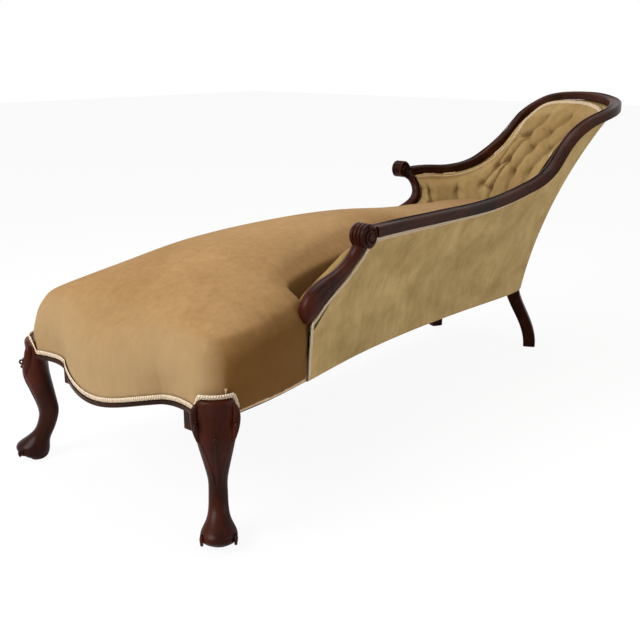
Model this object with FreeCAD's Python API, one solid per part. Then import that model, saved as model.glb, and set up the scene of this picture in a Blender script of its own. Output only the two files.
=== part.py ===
"""A chaise longue: sprung seat on four legs, with a show-wood rail that runs from a long arm
on the near side over a high head end down to a short arm on the far side.

+X runs from the foot end to the head end, -Y is the near side with the long arm, +Z is up.
The model is drawn with x = 0 at the front feet and z = 0 at the floor, and is then moved so
that the origin is the middle of its bounding box, at the floor.
"""
import FreeCAD, Part
import math
import os

Vector = FreeCAD.Vector

# Driving sizes, in millimetres

FRAME_LENGTH = 1635.0          # front feet to the head end of the seat frame
FOOT_HALF_WIDTH = 331.0        # centre line to the front feet
HEAD_HALF_WIDTH = 206.0        # centre line to the side of the seat frame at the head
FOOT_RAIL_HEIGHT = 270.0       # underside of the seat frame above the floor, foot end
HEAD_RAIL_HEIGHT = 212.0       # the same at the head end
ARM_HEIGHT = 575.0             # top of the arm rails
CREST_HEIGHT = 830.0           # top of the crest rail
ARM_THROW = 110.0              # how far the arm rails stand out from the seat frame
CREST_THROW = 280.0            # how far the crest rail leans out behind it
FLARE_MIDDLE = 0.345           # share of that lean at half height: less makes the back hollower
SEAT_EDGE_FOOT = 424.0         # height of the seat's edge at the foot end
SEAT_EDGE_HEAD = 478.0         # height of the seat's edge at the head end

RAIL_WIDTH = 36.0              # arm and crest rail, across its top
RAIL_FACE = 25.0               # height of its outer face
RAIL_ROUND = 7.0               # rounding of its upper edges
RAIL_HOLLOW = 4.0              # depth of the moulding along its top
RAIL_PROUD = 3.0               # how far it stands out from the outside cover
RAIL_SEATING = 0.9             # clearance under it

SEAT_RAIL_DEPTH = 60.0         # seat rails, from underside to top
SEAT_RAIL_THICK = 26.0
STILE_WIDTH = 42.0             # uprights inside the tub
STILE_THICK = 18.0
STILE_EASE = 1.6               # keeps what lies inside clear of a flat stile where the wall curves
TACKING_RAIL_DEPTH = 30.0      # rail that the inside back is nailed to, behind the seat
TACKING_RAIL_THICK = 14.0

COVER = 2.0                    # velvet with its backing
LINING = 2.8                   # hessian and wadding behind the outside cover
HESSIAN = 1.6
GAP = 0.3                      # between layers that follow each other round a curve
WALL_THICK = 64.0              # tub wall at its fullest, outside cover to inside cover
PAD_CROWN = 11.0               # how far the inside back swells between its buttons
TUFT_DEPTH = 17.0              # how far a button pulls the cover in
BUTTON_RADIUS = 8.0
BUTTON_THICK = 5.0
WALL_PAD_BASE = 40.0           # lower edge of the inside back, below the edge of the seat
LOW_PAD = 115.0                # height of the inside back at the arms, with one row of buttons
TALL_PAD = 250.0               # its height where every row has buttons
BAY_SWELL = 0.26               # most that a bay swells, as a share of its height
BUTTON_FROM = -0.66            # places along the plan between which there are buttons
BUTTON_TO = 0.15

SEAT_BULGE = 5.0               # how far the seat's sides swell
SEAT_DOME = 98.0               # rise of the seat's middle above its edge, where it is highest
SEAT_ROUND = 44.0              # rounding of its long edges
FOOT_ROUND = 64.0              # rounding of its edge at the foot end
SEAT_DOME_SEAT = 12.0          # how deep the dome starts in those roundings
SEAT_DOME_INSET = 9.0          # and how far in from the seat's side
SEAT_SKIRT = 44.0              # how far the form is drawn below the frame before it is trimmed
SEAT_PADDING = 62.0            # stuffing over the springs
SPRING_RADIUS = 42.0
SPRING_WAIST = 26.0
SPRING_PITCH = 160.0
SPRING_EDGE = 96.0             # outermost springs, in from the side of the frame
TWINE = 3.5
WEB_WIDTH = 50.0
WEB_THICK = 2.0
WEB_PITCH = 80.0               # two to each row of springs, so that every row stands on a strap
BOTTOM_CLOTH = 1.0

GIMP_WIDTH = 11.0
GIMP_THICK = 2.2
TACK_HEAD = 3.5
TACK_THICK = 1.2
TACK_PITCH = 60.0

FRONT_RAIL_BOW = 51.0          # how far the foot-end rail bows out between its shoulders
FRONT_SHOULDER = 6.0           # its shoulders, behind the line of the front feet
FRONT_SHOULDER_HALF = 170.0    # half the distance between them
FRONT_RAIL_DROP = 31.0         # how far its middle hangs below its ends
FRONT_RAIL_LIP = 9.0           # height of the show-wood moulding
FRONT_LIP_PROUD = 5.0
FRONT_CORNER_ROUND = 60.0      # rounding of the seat's front corners

FRONT_LEG_GROW = 1.0           # girth of the front legs, as a share of the drawn girth
REAR_LEG_THICK = 46.0
REAR_LEG_KICK = 86.0           # how far the foot stands out from the top of the leg
REAR_LEG_SPLAY = 25.0          # degrees between that kick and the length of the seat
EAR_X = 34.0                   # scroll of a front leg's ear, behind the front feet
EAR_Z = 262.0
EAR_RADIUS = 8.0
EAR_LENGTH = 24.0
CORNER_BLOCK = 58.0            # corner blocks: reach along a rail
CORNER_BLOCK_THICK = 34.0      # and from the rails towards the middle
CORNER_BLOCK_DEPTH = 36.0
SCREW_RADIUS = 2.5
SCREW_LENGTH = 45.0
SCREW_HEAD = 4.6
SCREW_HEAD_THICK = 2.6
DOWEL_RADIUS = 5.0
DOWEL_LENGTH = 40.0
DOWEL_SPACING = 26.0
FIT = 0.1                      # clearance of a dowel or screw in its hole

SUPPORT_WIDTH = 38.0           # arm supports, across
SUPPORT_FOOT_BACK = 28.0       # front edge of the wall below a bulb, behind the bulb's tip
SCROLL_RADIUS = 26.0           # carved scroll on top of a support
SCROLL_EYE = 9.0
NEAR_SCROLL_X = 474.0          # centre of the near scroll, from the front feet
NEAR_SCROLL_DROP = 21.0        # and below the top of the arm rail
FAR_SCROLL_X = 1488.0
FAR_SCROLL_DROP = 5.0

# The plan of the seat frame, near side, as shares: place along the frame's length, and how far
# the side stands between the width at the head and the width at the feet.
SIDE_PLAN = (
    (0.021, 1.000), (0.098, 0.936), (0.182, 0.768), (0.313, 0.440), (0.470, 0.184),
    (0.601, 0.072), (0.739, 0.032), (0.856, 0.000),
)
# Its rounded head end: place along the length, and share of the width at the head.
HEAD_PLAN = ((0.917, 0.922), (0.963, 0.704), (0.991, 0.388))

# The arm and crest rail. Each row is a place along the frame's plan, from 0 in the middle of the
# head end to -1 and +1 at the near and far front corners, then how far the rail leans there
# between the arm's throw and the crest's, and how high it is between the arm and the crest.
RAIL_COURSE = (
    (-0.860, -0.28, 0.06), (-0.728, -0.12, 0.05), (-0.550, 0.02, 0.02), (-0.410, 0.06, 0.01),
    (-0.307, 0.12, 0.09), (-0.247, 0.22, 0.23), (-0.217, 0.32, 0.49), (-0.188, 0.43, 0.68),
    (-0.157, 0.60, 0.80), (-0.128, 0.86, 0.88), (-0.096, 1.03, 0.95), (-0.056, 1.00, 1.00),
    (-0.015, 0.93, 0.94), (0.011, 0.70, 0.73), (0.031, 0.36, 0.36), (0.055, 0.12, 0.10),
    (0.083, 0.05, 0.00), (0.122, 0.04, 0.00), (0.156, 0.01, -0.01), (0.260, 0.00, -0.01),
)

# Places along the plan where one piece ends and the next begins
NEAR_FRONT = -0.850            # front edge of the near wall
ARM_START = -0.715             # where the long arm rail meets its scroll
ARM_JOINT = -0.493             # scarf joint of the long arm rail and the crest rail
NEAR_CORNER = -0.130
FAR_CORNER = 0.068
SHORT_ARM_JOINT = 0.076
SHORT_ARM_END = 0.139
FAR_FRONT = 0.245
REAR_LEG_PLACE = 0.128         # on either side
NEAR_STILES = (-0.640, -0.500, -0.360, -0.225)
HEAD_STILES = (-0.105, -0.040, 0.022)
FAR_STILES = (0.085, 0.116)

# Rows of buttons on the inside back: share of the height from the seat to the rail, where the
# wall is tall and where it is low. First and last are its lower and upper edge.
TALL_ROWS = (0.0, 0.36, 0.57, 0.71, 0.85, 1.0)
LOW_ROWS = (0.0, 0.26, 0.50, 0.68, 0.84, 1.0)
# Buttons of the second and fourth row, counted along the wall, with their places along the plan.
# The rows between them have theirs half a count further.
TUFT_COURSE = (
    (-19.0, -0.921), (-6.0, -0.232), (-5.0, -0.180), (-4.0, -0.136), (-3.0, -0.098), (-2.0, -0.064),
    (-1.0, -0.034), (0.0, -0.003), (1.0, 0.032), (2.0, 0.073), (3.0, 0.126), (5.0, 0.232),
)

# A support's middle line, seen from the side: forward of the scroll's centre, below it, and half
# its thickness there. It runs from the scroll down to the bulb.
NEAR_SUPPORT_COURSE = (
    (2.0, 8.0, 17.0), (10.0, 36.0, 15.0), (27.0, 57.0, 14.0), (56.0, 78.0, 16.0), (92.0, 94.0, 20.0),
    (128.0, 108.0, 25.0), (153.0, 124.0, 27.0), (167.0, 142.0, 24.0), (173.0, 158.0, 16.0),
    (175.0, 168.0, 6.0),
)
FAR_SUPPORT_COURSE = (
    (-14.0, 6.0, 15.0), (-32.0, 34.0, 13.0), (-35.0, 66.0, 12.0), (-18.0, 96.0, 14.0),
    (28.0, 122.0, 18.0), (74.0, 138.0, 23.0), (106.0, 150.0, 26.0), (124.0, 164.0, 23.0),
    (132.0, 178.0, 16.0), (134.0, 187.0, 6.0),
)

# Places where the arcs of the seat's outline meet and pass, from the front corner to the head
SEAT_ARCS = (0.985, 0.91, 0.84, 0.76, 0.68, 0.60, 0.52, 0.44, 0.35, 0.27, 0.19, 0.14, 0.09, 0.045, 0.0)

# The seat's dome: place along the frame's length, and share of its full rise there
DOME_COURSE = (
    (-0.0147, -0.19), (-0.0060, -0.10), (0.0125, 0.06), (0.0370, 0.24), (0.0920, 0.60), (0.2140, 0.92),
    (0.3670, 1.00), (0.5200, 0.84), (0.6730, 0.52), (0.8560, 0.17), (0.9800, 0.08),
)
# Its width near the foot end: place along the length, and share of the width at the feet
DOME_FRONT = (
    (-0.0147, 0.160), (-0.0060, 0.300), (0.0037, 0.415), (0.0122, 0.500), (0.0159, 0.690),
    (0.0208, 0.840), (0.0294, 0.910), (0.0459, 0.960),
)

# A front leg in its diagonal plane: height, reach outward, reach inward, half width across
FRONT_LEG = (
    (0.0, 6.0, 28.0, 22.0), (12.0, 25.0, 39.0, 34.0), (32.0, 38.0, 42.0, 37.0),
    (48.0, 20.0, 45.0, 28.0), (72.0, -8.0, 56.0, 21.0), (98.0, -20.0, 66.0, 20.0),
    (122.0, -24.0, 71.0, 20.0), (150.0, -18.0, 68.0, 24.0), (185.0, -6.0, 62.0, 31.0),
    (215.0, 5.0, 57.0, 37.0), (240.0, 4.0, 55.0, 42.0), (264.0, -4.0, 55.0, 45.0),
    (286.0, -7.0, 58.0, 43.0), (308.0, -8.0, 60.0, 34.0),
)

# Plan of the frame, course of the rail, and the wall between them

def between(rows, place):
    """Smooth value between the rows (place, value, ...): a cubic whose slope at each row is the
    mean of the slopes on its two sides."""
    last = len(rows) - 1
    place = min(max(place, rows[0][0]), rows[last][0])
    index = 0
    while index < last - 1 and place > rows[index + 1][0]:
        index += 1

    def slope(at, column):
        low, high = max(at - 1, 0), min(at + 1, last)
        return (rows[high][column] - rows[low][column]) / (rows[high][0] - rows[low][0])

    start, end = rows[index], rows[index + 1]
    span = end[0] - start[0]
    t = (place - start[0]) / span
    values = []
    for column in range(1, len(start)):
        enter = slope(index, column) * span
        leave = slope(index + 1, column) * span
        values.append((2 * t ** 3 - 3 * t ** 2 + 1) * start[column] + (t ** 3 - 2 * t ** 2 + t) * enter
                      + (3 * t ** 2 - 2 * t ** 3) * end[column] + (t ** 3 - t ** 2) * leave)
    return values


def plan_curve():
    """The outer line of the seat frame, from the near front corner round the head end."""
    near = []
    for along, spread in SIDE_PLAN:
        half = HEAD_HALF_WIDTH + spread * (FOOT_HALF_WIDTH - HEAD_HALF_WIDTH)
        near.append((along * FRAME_LENGTH, half))
    for along, share in HEAD_PLAN:
        near.append((along * FRAME_LENGTH, share * HEAD_HALF_WIDTH))
    points = [Vector(x, -half, 0) for x, half in near]
    points.append(Vector(FRAME_LENGTH, 0, 0))
    points += [Vector(x, half, 0) for x, half in reversed(near)]
    curve = Part.BSplineCurve()
    curve.interpolate(points)
    return curve


PLAN = plan_curve()
PLAN_LENGTH = PLAN.length()


def plan_at(place):
    """Point of the plan, and its outward direction, at a place from -1 to 1."""
    parameter = PLAN.parameterAtDistance(PLAN_LENGTH * (1 + place) / 2, PLAN.FirstParameter)
    point = PLAN.value(parameter)
    tangent = PLAN.tangent(parameter)[0]
    return point, Vector(tangent.y, -tangent.x, 0)


def place_at(x, side):
    """Place on the near (side -1) or far (side 1) half of the plan that lies at x."""
    low, high = 0.0, 1.0
    for _ in range(40):
        middle = (low + high) / 2
        if plan_at(side * middle)[0].x > x:
            low = middle
        else:
            high = middle
    return side * low


def base_height(x):
    """Underside of the seat frame at x."""
    return FOOT_RAIL_HEIGHT + (HEAD_RAIL_HEIGHT - FOOT_RAIL_HEIGHT) * x / FRAME_LENGTH


def seat_height(x):
    """Edge of the seat at x."""
    return SEAT_EDGE_FOOT + (SEAT_EDGE_HEAD - SEAT_EDGE_FOOT) * x / FRAME_LENGTH


def rail_at(place):
    """How far the rail's outer upper edge stands out from the plan, and its height."""
    lean, rise = between(RAIL_COURSE, place)
    throw = ARM_THROW + lean * (CREST_THROW - ARM_THROW)
    return throw, ARM_HEIGHT + rise * (CREST_HEIGHT - ARM_HEIGHT)


def rail_point(place):
    point, outward = plan_at(place)
    throw, height = rail_at(place)
    edge = point + outward * throw
    edge.z = height
    return edge


def arc_x(first, middle, last, y):
    """x at y on the flat arc through three (x, y) points, which bulges along X."""
    (x1, y1), (x2, y2), (x3, y3) = first, middle, last
    double = 2 * (x1 * (y2 - y3) + x2 * (y3 - y1) + x3 * (y1 - y2))
    if abs(double) < 1e-6:
        return x1 + (x3 - x1) * (y - y1) / (y3 - y1)
    squares = [x ** 2 + y ** 2 for x, y in (first, middle, last)]
    centre_x = (squares[0] * (y2 - y3) + squares[1] * (y3 - y1) + squares[2] * (y1 - y2)) / double
    centre_y = (squares[0] * (x3 - x2) + squares[1] * (x1 - x3) + squares[2] * (x2 - x1)) / double
    radius = math.hypot(x1 - centre_x, y1 - centre_y)
    side = 1 if x2 > centre_x else -1
    return centre_x + side * math.sqrt(max(radius ** 2 - (y - centre_y) ** 2, 0.0))


def flare(place, height):
    """How far the outside back stands out from the plan at a height: a hollow arc."""
    throw, top = rail_at(place)
    base = base_height(plan_at(place)[0].x)
    reach = throw - RAIL_PROUD
    return arc_x((0.0, base), (reach * FLARE_MIDDLE, (base + top) / 2), (reach, top), height)


def wall_point(place, inset, height):
    """Point of the wall, inset from its outside face."""
    point, outward = plan_at(place)
    spot = point + outward * (flare(place, height) - inset)
    spot.z = height
    return spot


def frame_point(place, inset, height):
    """Point above the plan, inset from it and with no flare."""
    point, outward = plan_at(place)
    spot = point - outward * inset
    spot.z = height
    return spot


def spread(start, end, count):
    """Evenly spaced values from start to end."""
    return [start + (end - start) * index / (count - 1) for index in range(count)]


# Shapes

def arc(first, middle, last):
    """Arc through three points, or the line where they are in line."""
    if (middle - first).cross(last - first).Length < 1e-4 * (last - first).Length:
        return Part.makeLine(first, last)
    return Part.Arc(first, middle, last).toShape()


def loft(wires, ruled=False):
    return Part.makeLoft(wires, True, ruled)


def arc_chain(points):
    """Arcs through points 0-1-2, 2-3-4 and so on."""
    return [arc(*points[index:index + 3]) for index in range(0, len(points) - 2, 2)]


def trim(shape, *tools):
    """What is left of one piece after cutting, without offcuts."""
    for tool in tools:
        shape = shape.cut(tool)
    return max(shape.Solids, key=lambda solid: solid.Volume)


def fuse(first, *rest):
    for shape in rest:
        first = first.fuse(shape)
    return first.removeSplitter()


def cylinder(start, end, radius):
    axis = end - start
    return Part.makeCylinder(radius, axis.Length, start, axis)


def layer(places, outer, inner, low, high):
    """Part of the tub wall between two insets. low and high give its lower and upper height at a
    place and inset. Each section is an arc up the outer side and an arc down the inner side."""
    wires = []
    for place in places:
        sides = []
        for inset in (outer, inner):
            bottom, top = low(place, inset), high(place, inset)
            sides.append([wall_point(place, inset, height) for height in (bottom, (bottom + top) / 2, top)])
        out, inn = sides[0], sides[1][::-1]
        wires.append(Part.Wire([arc(*out), Part.makeLine(out[2], inn[0]), arc(*inn),
                                Part.makeLine(inn[2], out[0])]))
    return loft(wires, ruled=True)


def rail_layer(places, outer, inner):
    """Upright seat rail that follows the plan between two insets."""
    wires = []
    for place in places:
        corners = []
        for inset, rise in ((outer, 0.0), (outer, SEAT_RAIL_DEPTH), (inner, SEAT_RAIL_DEPTH), (inner, 0.0)):
            spot = frame_point(place, inset, 0)
            corners.append(Vector(spot.x, spot.y, base_height(spot.x) + rise))
        wires.append(Part.makePolygon(corners + corners[:1]))
    return loft(wires)


STILE_OUTER = COVER + LINING + 2 * GAP
STILE_INNER = STILE_OUTER + STILE_THICK + STILE_EASE + GAP


def wall_base(place, inset=0.0):
    return base_height(frame_point(place, inset, 0).x)


def seat_rail_top(place):
    return wall_base(place) + SEAT_RAIL_DEPTH


def rail_slant(place):
    """How much longer the rail's course is than its plan, where it climbs."""
    step = 0.004
    run = rail_point(min(place + step, 1.0)) - rail_point(max(place - step, -1.0))
    return run.Length / math.hypot(run.x, run.y)


def rail_under(spot, place):
    """Height of the rail's underside above or below a spot, sought from a place nearby."""
    step = 0.002
    edge = spot
    for _ in range(7):
        along, _, up = rail_axes(place)
        edge = rail_point(place) - up * RAIL_FACE
        run = rail_point(place + step) - rail_point(place - step)
        pace = math.hypot(run.x, run.y) / (2 * step)
        level = Vector(along.x, along.y, 0).normalize()
        place += 0.8 * (spot - edge).dot(level) / pace * (1 if run.dot(level) > 0 else -1)
        place = min(max(place, -0.99), 0.99)
    return edge.z


def rail_seat(place, inset=0.0):
    """Top of what stands under the arm and crest rail at an inset from the outside back."""
    height = rail_at(place)[1] - RAIL_FACE
    for _ in range(2):
        height = rail_under(wall_point(place, inset, height), place)
    return height - RAIL_SEATING


def pad_base(place, inset=0.0):
    """Lower edge of the inside back, behind the seat."""
    return seat_height(plan_at(place)[0].x) - WALL_PAD_BASE


# Arm and crest rail

def rail_axes(place):
    """Directions along the rail's course, level and outward across it, and up out of it."""
    step = 0.002
    along = (rail_point(place + step) - rail_point(place - step)).normalize()
    outward = Vector(along.y, -along.x, 0).normalize()
    if outward.dot(plan_at(place)[1]) < 0:
        outward = outward * -1
    up = outward.cross(along)
    return along, outward, up * (1 if up.z > 0 else -1)


def rail_section(place):
    """Moulded section, square to the rail's course: rounded upper edges with a hollow between
    them, and flat sides and underside."""
    _, outward, up = rail_axes(place)
    corner = rail_point(place)

    def at(across, rise):
        return corner - outward * across + up * rise

    soft = RAIL_ROUND * (1 - math.sqrt(0.5))
    edges = [
        Part.makeLine(at(0, -RAIL_FACE), at(0, -RAIL_ROUND)),
        arc(at(0, -RAIL_ROUND), at(soft, -soft), at(RAIL_ROUND, 0)),
        arc(at(RAIL_ROUND, 0), at(RAIL_WIDTH / 2, -RAIL_HOLLOW), at(RAIL_WIDTH - RAIL_ROUND, 0)),
        arc(at(RAIL_WIDTH - RAIL_ROUND, 0), at(RAIL_WIDTH - soft, -soft), at(RAIL_WIDTH, -RAIL_ROUND)),
        Part.makeLine(at(RAIL_WIDTH, -RAIL_ROUND), at(RAIL_WIDTH, -RAIL_FACE)),
        Part.makeLine(at(RAIL_WIDTH, -RAIL_FACE), at(0, -RAIL_FACE)),
    ]
    return Part.Wire(edges)


def rail_piece(start, end, count):
    return loft([rail_section(place) for place in spread(start, end, count)])


# Arm supports with their scrolls

def scroll_centre(side):
    x, drop = (NEAR_SCROLL_X, NEAR_SCROLL_DROP) if side < 0 else (FAR_SCROLL_X, FAR_SCROLL_DROP)
    return Vector(x, 0, rail_at(place_at(x, side))[1] - drop)


def support_face(side, x, height):
    """Outer face of a support: it stands a little proud of the wall behind it."""
    low, high = 0.0, 1.0
    for _ in range(40):
        middle = (low + high) / 2
        if wall_point(side * middle, 0, height).x > x:
            low = middle
        else:
            high = middle
    return abs(wall_point(side * low, 0, height).y) + RAIL_PROUD


def support_line(side):
    """Middle line of a support as (x, z, half thickness)."""
    centre = scroll_centre(side)
    course = NEAR_SUPPORT_COURSE if side < 0 else FAR_SUPPORT_COURSE
    return [(centre.x - forward, centre.z - below, half) for forward, below, half in course]


def support_body(side, grow=0.0):
    """Swept from the scroll to the bulb. Each section has four arcs, the front one fullest."""
    line = support_line(side)
    wires = []
    for index, (x, z, half) in enumerate(line):
        before = line[max(index - 1, 0)]
        after = line[min(index + 1, len(line) - 1)]
        along = Vector(after[0] - before[0], 0, after[1] - before[1]).normalize()
        front = Vector(along.z, 0, -along.x)
        if front.x > 0:
            front = front * -1
        face = support_face(side, x, z)
        middle = Vector(x, side * (face - SUPPORT_WIDTH / 2), z)
        across = Vector(0, side, 0)
        reach = SUPPORT_WIDTH / 2 * min(1.0, 0.50 + 0.50 * half / 25.0)

        def at(wide, thick):
            return middle + across * (wide * (reach + grow)) + front * (thick * (half + grow))

        edges = [
            arc(at(-0.86, 0.62), at(0, 1.0), at(0.86, 0.62)),
            arc(at(0.86, 0.62), at(1.0, 0), at(0.86, -0.62)),
            arc(at(0.86, -0.62), at(0, -0.80), at(-0.86, -0.62)),
            arc(at(-0.86, -0.62), at(-1.0, 0), at(-0.86, 0.62)),
        ]
        wires.append(Part.Wire(edges))
    return loft(wires)


def support_scroll(side):
    """Drum of the scroll with an eye on each side, and the neck that meets the arm rail."""
    centre = scroll_centre(side)
    face = support_face(side, centre.x, centre.z)
    outer = side * (face + GAP)
    inner = side * (face - SUPPORT_WIDTH)
    drum = cylinder(Vector(centre.x, inner, centre.z), Vector(centre.x, outer, centre.z), SCROLL_RADIUS)
    eye = cylinder(Vector(centre.x, inner - side * SCROLL_EYE / 2, centre.z),
                   Vector(centre.x, outer + side * SCROLL_EYE / 2, centre.z), SCROLL_EYE)
    start = ARM_START if side < 0 else SHORT_ARM_END
    near_scroll = place_at(centre.x + SCROLL_RADIUS / 3, side)
    neck = rail_piece(near_scroll, start, 4)
    return fuse(drum, eye, neck)


def scroll_room(side):
    """Space for the drum of a scroll, with clearance."""
    centre = scroll_centre(side)
    face = support_face(side, centre.x, centre.z)
    return cylinder(Vector(centre.x, side * (face - 3 * SUPPORT_WIDTH), centre.z),
                    Vector(centre.x, side * (face + SUPPORT_WIDTH), centre.z), SCROLL_RADIUS + GAP)


def wall_front_cutter(side):
    """Everything in front of a support's rear face, which ends the layers of the wall."""
    line = support_line(side)
    points = []
    for index, (x, z, half) in enumerate(line):
        before, after = line[max(index - 1, 0)], line[min(index + 1, len(line) - 1)]
        along = Vector(after[0] - before[0], 0, after[1] - before[1]).normalize()
        rear = Vector(-along.z, 0, along.x)
        points.append(Vector(x, 0, z) + rear * (half * 0.97 + GAP))
    base_x = points[-1].x + SUPPORT_FOOT_BACK
    reach = 3 * FOOT_HALF_WIDTH
    top = Vector(points[0].x, 0, CREST_HEIGHT)
    foot = Vector(base_x, 0, 0)
    outline = [top] + points + [foot, Vector(base_x - reach, 0, 0), Vector(base_x - reach, 0, CREST_HEIGHT)]
    start = Vector(0, 0, 0) if side > 0 else Vector(0, -reach, 0)
    outline = [point + start for point in outline]
    outline.append(outline[0])
    return Part.Face(Part.makePolygon(outline)).extrude(Vector(0, reach, 0))


# Legs

def front_leg(side, grow=0.0):
    """Cabriole leg, set diagonally. Each level is four arcs round its outward and cross reach."""
    outward = Vector(-1, side, 0).normalize()
    across = Vector(side, 1, 0).normalize()
    foot = Vector(0, side * FOOT_HALF_WIDTH, 0)
    wires = []
    for height, out, back, half in FRONT_LEG:
        middle = (out - back) / 2 * FRONT_LEG_GROW
        reach = (out + back) / 2 * FRONT_LEG_GROW + grow
        width = half * FRONT_LEG_GROW + grow
        centre = foot + outward * middle + Vector(0, 0, height)

        def at(forward, sideways):
            return centre + outward * (forward * reach) + across * (sideways * width)

        edges = [
            arc(at(0.58, -0.84), at(1.0, 0), at(0.58, 0.84)),
            arc(at(0.58, 0.84), at(0, 1.0), at(-0.62, 0.80)),
            arc(at(-0.62, 0.80), at(-1.0, 0), at(-0.62, -0.80)),
            arc(at(-0.62, -0.80), at(0, -1.0), at(0.58, -0.84)),
        ]
        wires.append(Part.Wire(edges))
    return loft(wires)


def front_leg_ears(side):
    """Small scroll where the leg's ear ends on the long side."""
    start = Vector(EAR_X, side * (FOOT_HALF_WIDTH - EAR_LENGTH), EAR_Z)
    end = Vector(EAR_X, side * (FOOT_HALF_WIDTH + SEAT_BULGE), EAR_Z)
    return cylinder(start, end, EAR_RADIUS)


def rear_leg_top(side):
    """Middle of a rear leg's top: inside the corner of the frame, behind cover and lining."""
    point, outward = plan_at(side * REAR_LEG_PLACE)
    inset = COVER + LINING + 2 * GAP + REAR_LEG_THICK / 2
    return point - outward * inset, outward


def rear_leg(side, grow=0.0):
    """Sabre leg: upright inside the frame, then a curve that kicks back and outward."""
    top, outward = rear_leg_top(side)
    base = base_height(top.x)
    splay = math.radians(REAR_LEG_SPLAY)
    kick = Vector(math.cos(splay), side * math.sin(splay), 0)
    wires = []
    for share in (0.0, 0.12, 0.3, 0.5, 0.7, 0.86, 1.0):
        height = base * share
        reach = REAR_LEG_KICK * (0.5 + 0.5 * math.cos(math.pi * share)) ** 0.75
        half = REAR_LEG_THICK / 2 * (0.86 + 0.14 * share) + grow
        wires.append(leg_square(top + kick * reach, height, half, outward))
    wires.append(leg_square(top, base + SEAT_RAIL_DEPTH / 2, REAR_LEG_THICK / 2 + grow, outward))
    wires.append(leg_square(top, base + SEAT_RAIL_DEPTH - 6 * GAP, REAR_LEG_THICK / 2 + grow, outward))
    return loft(wires)


def leg_square(middle, height, half, outward):
    """Square section with rounded sides, turned to the corner of the frame."""
    across = Vector(-outward.y, outward.x, 0)
    centre = Vector(middle.x, middle.y, height)
    corners = [(1, -1), (1, 1), (-1, 1), (-1, -1)]
    sides = [(1.0, 0), (0, 1.0), (-1.0, 0), (0, -1.0)]
    edges = []
    for index in range(4):
        first, last = corners[index], corners[(index + 1) % 4]
        point = [centre + outward * (a * half * 0.92) + across * (b * half * 0.92) for a, b in (first, last)]
        a, b = sides[index]
        edges.append(arc(point[0], centre + outward * (a * half) + across * (b * half), point[1]))
    return Part.Wire(edges)


# Seat frame

def front_points():
    """Plan of the foot end, from its far end to its near end, as points of arcs: a long bow
    between two shoulders, which ease out to the legs."""
    end = FOOT_HALF_WIDTH - FRONT_CORNER_ROUND
    far = [(0.0, end), (FRONT_SHOULDER * 1.8, (end + FRONT_SHOULDER_HALF) / 2),
           (FRONT_SHOULDER, FRONT_SHOULDER_HALF)]
    return far + [(FRONT_SHOULDER - FRONT_RAIL_BOW, 0.0)] + [(x, -y) for x, y in reversed(far)]


def front_drop(y):
    """Lower edge of the foot-end rail: level in the middle, then a rising curve to each leg."""
    share = min(abs(y) / (FRONT_SHOULDER_HALF + 40.0), 1.0)
    return FOOT_RAIL_HEIGHT - FRONT_RAIL_DROP * (0.5 + 0.5 * math.cos(share * math.pi))


def foot_strip(outer, inner, low, high):
    """Upright strip that follows the foot end between two shifts of its plan along X. low and
    high are above its lower edge; without high it reaches up to the top of the rail."""
    bottom, top = FOOT_RAIL_HEIGHT - 2 * FRONT_RAIL_DROP, FOOT_RAIL_HEIGHT + SEAT_RAIL_DEPTH * 0.6
    points = front_points()
    reach = Vector(0, FRONT_CORNER_ROUND * 0.55, 0)
    out = [Vector(x + outer, y, bottom) for x, y in points]
    inn = [Vector(x + inner, y, bottom) for x, y in reversed(points)]
    ends = [out[-1] - reach, inn[0] - reach, inn[-1] + reach, out[0] + reach]
    outline = arc_chain(out) + [Part.makeLine(out[-1], ends[0]), Part.makeLine(ends[0], ends[1]),
                                Part.makeLine(ends[1], inn[0])]
    outline += arc_chain(inn) + [Part.makeLine(inn[-1], ends[2]), Part.makeLine(ends[2], ends[3]),
                                 Part.makeLine(ends[3], out[0])]
    strip = Part.Face(Part.Wire(outline)).extrude(Vector(0, 0, top - bottom))
    strip = strip.cut(below_apron(low))
    return strip if high is None else strip.common(below_apron(high))


def below_apron(rise):
    """Space below the lower edge of the foot end, raised by rise."""
    half = FOOT_HALF_WIDTH * 1.2
    x = -FOOT_HALF_WIDTH
    curve = Part.BSplineCurve()
    curve.interpolate([Vector(x, y, front_drop(y) + rise) for y in spread(-half, half, 25)])
    first, last = curve.StartPoint, curve.EndPoint
    low_last, low_first = Vector(x, half, 0), Vector(x, -half, 0)
    outline = Part.Wire([curve.toShape(), Part.makeLine(last, low_last), Part.makeLine(low_last, low_first),
                         Part.makeLine(low_first, first)])
    reach = FOOT_HALF_WIDTH + FRONT_SHOULDER * 1.8 + COVER + SEAT_RAIL_THICK + 2 * GAP
    return Part.Face(outline).extrude(Vector(reach, 0, 0))


def foot_rail():
    """Serpentine rail with its show-wood moulding along the lower edge."""
    behind = COVER + 4 * GAP
    body = foot_strip(behind, behind + SEAT_RAIL_THICK, 0.0, None)
    moulding = foot_strip(-FRONT_LIP_PROUD, behind + SEAT_RAIL_THICK / 2, 0.0, FRONT_RAIL_LIP)
    return fuse(body, moulding)


def side_rail(side):
    """Seat rail of a long side, from the front leg to the rear leg."""
    start, end = place_at(FRONT_LEG[-1][2] * 0.6, side), side * REAR_LEG_PLACE
    outer = COVER + LINING + 2 * GAP
    return rail_layer(spread(start, end, 11), outer, outer + SEAT_RAIL_THICK)


def head_rail():
    """Seat rail round the head end, between the rear legs."""
    outer = COVER + LINING + 2 * GAP
    return rail_layer(spread(-REAR_LEG_PLACE, REAR_LEG_PLACE, 9), outer, outer + SEAT_RAIL_THICK)


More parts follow.
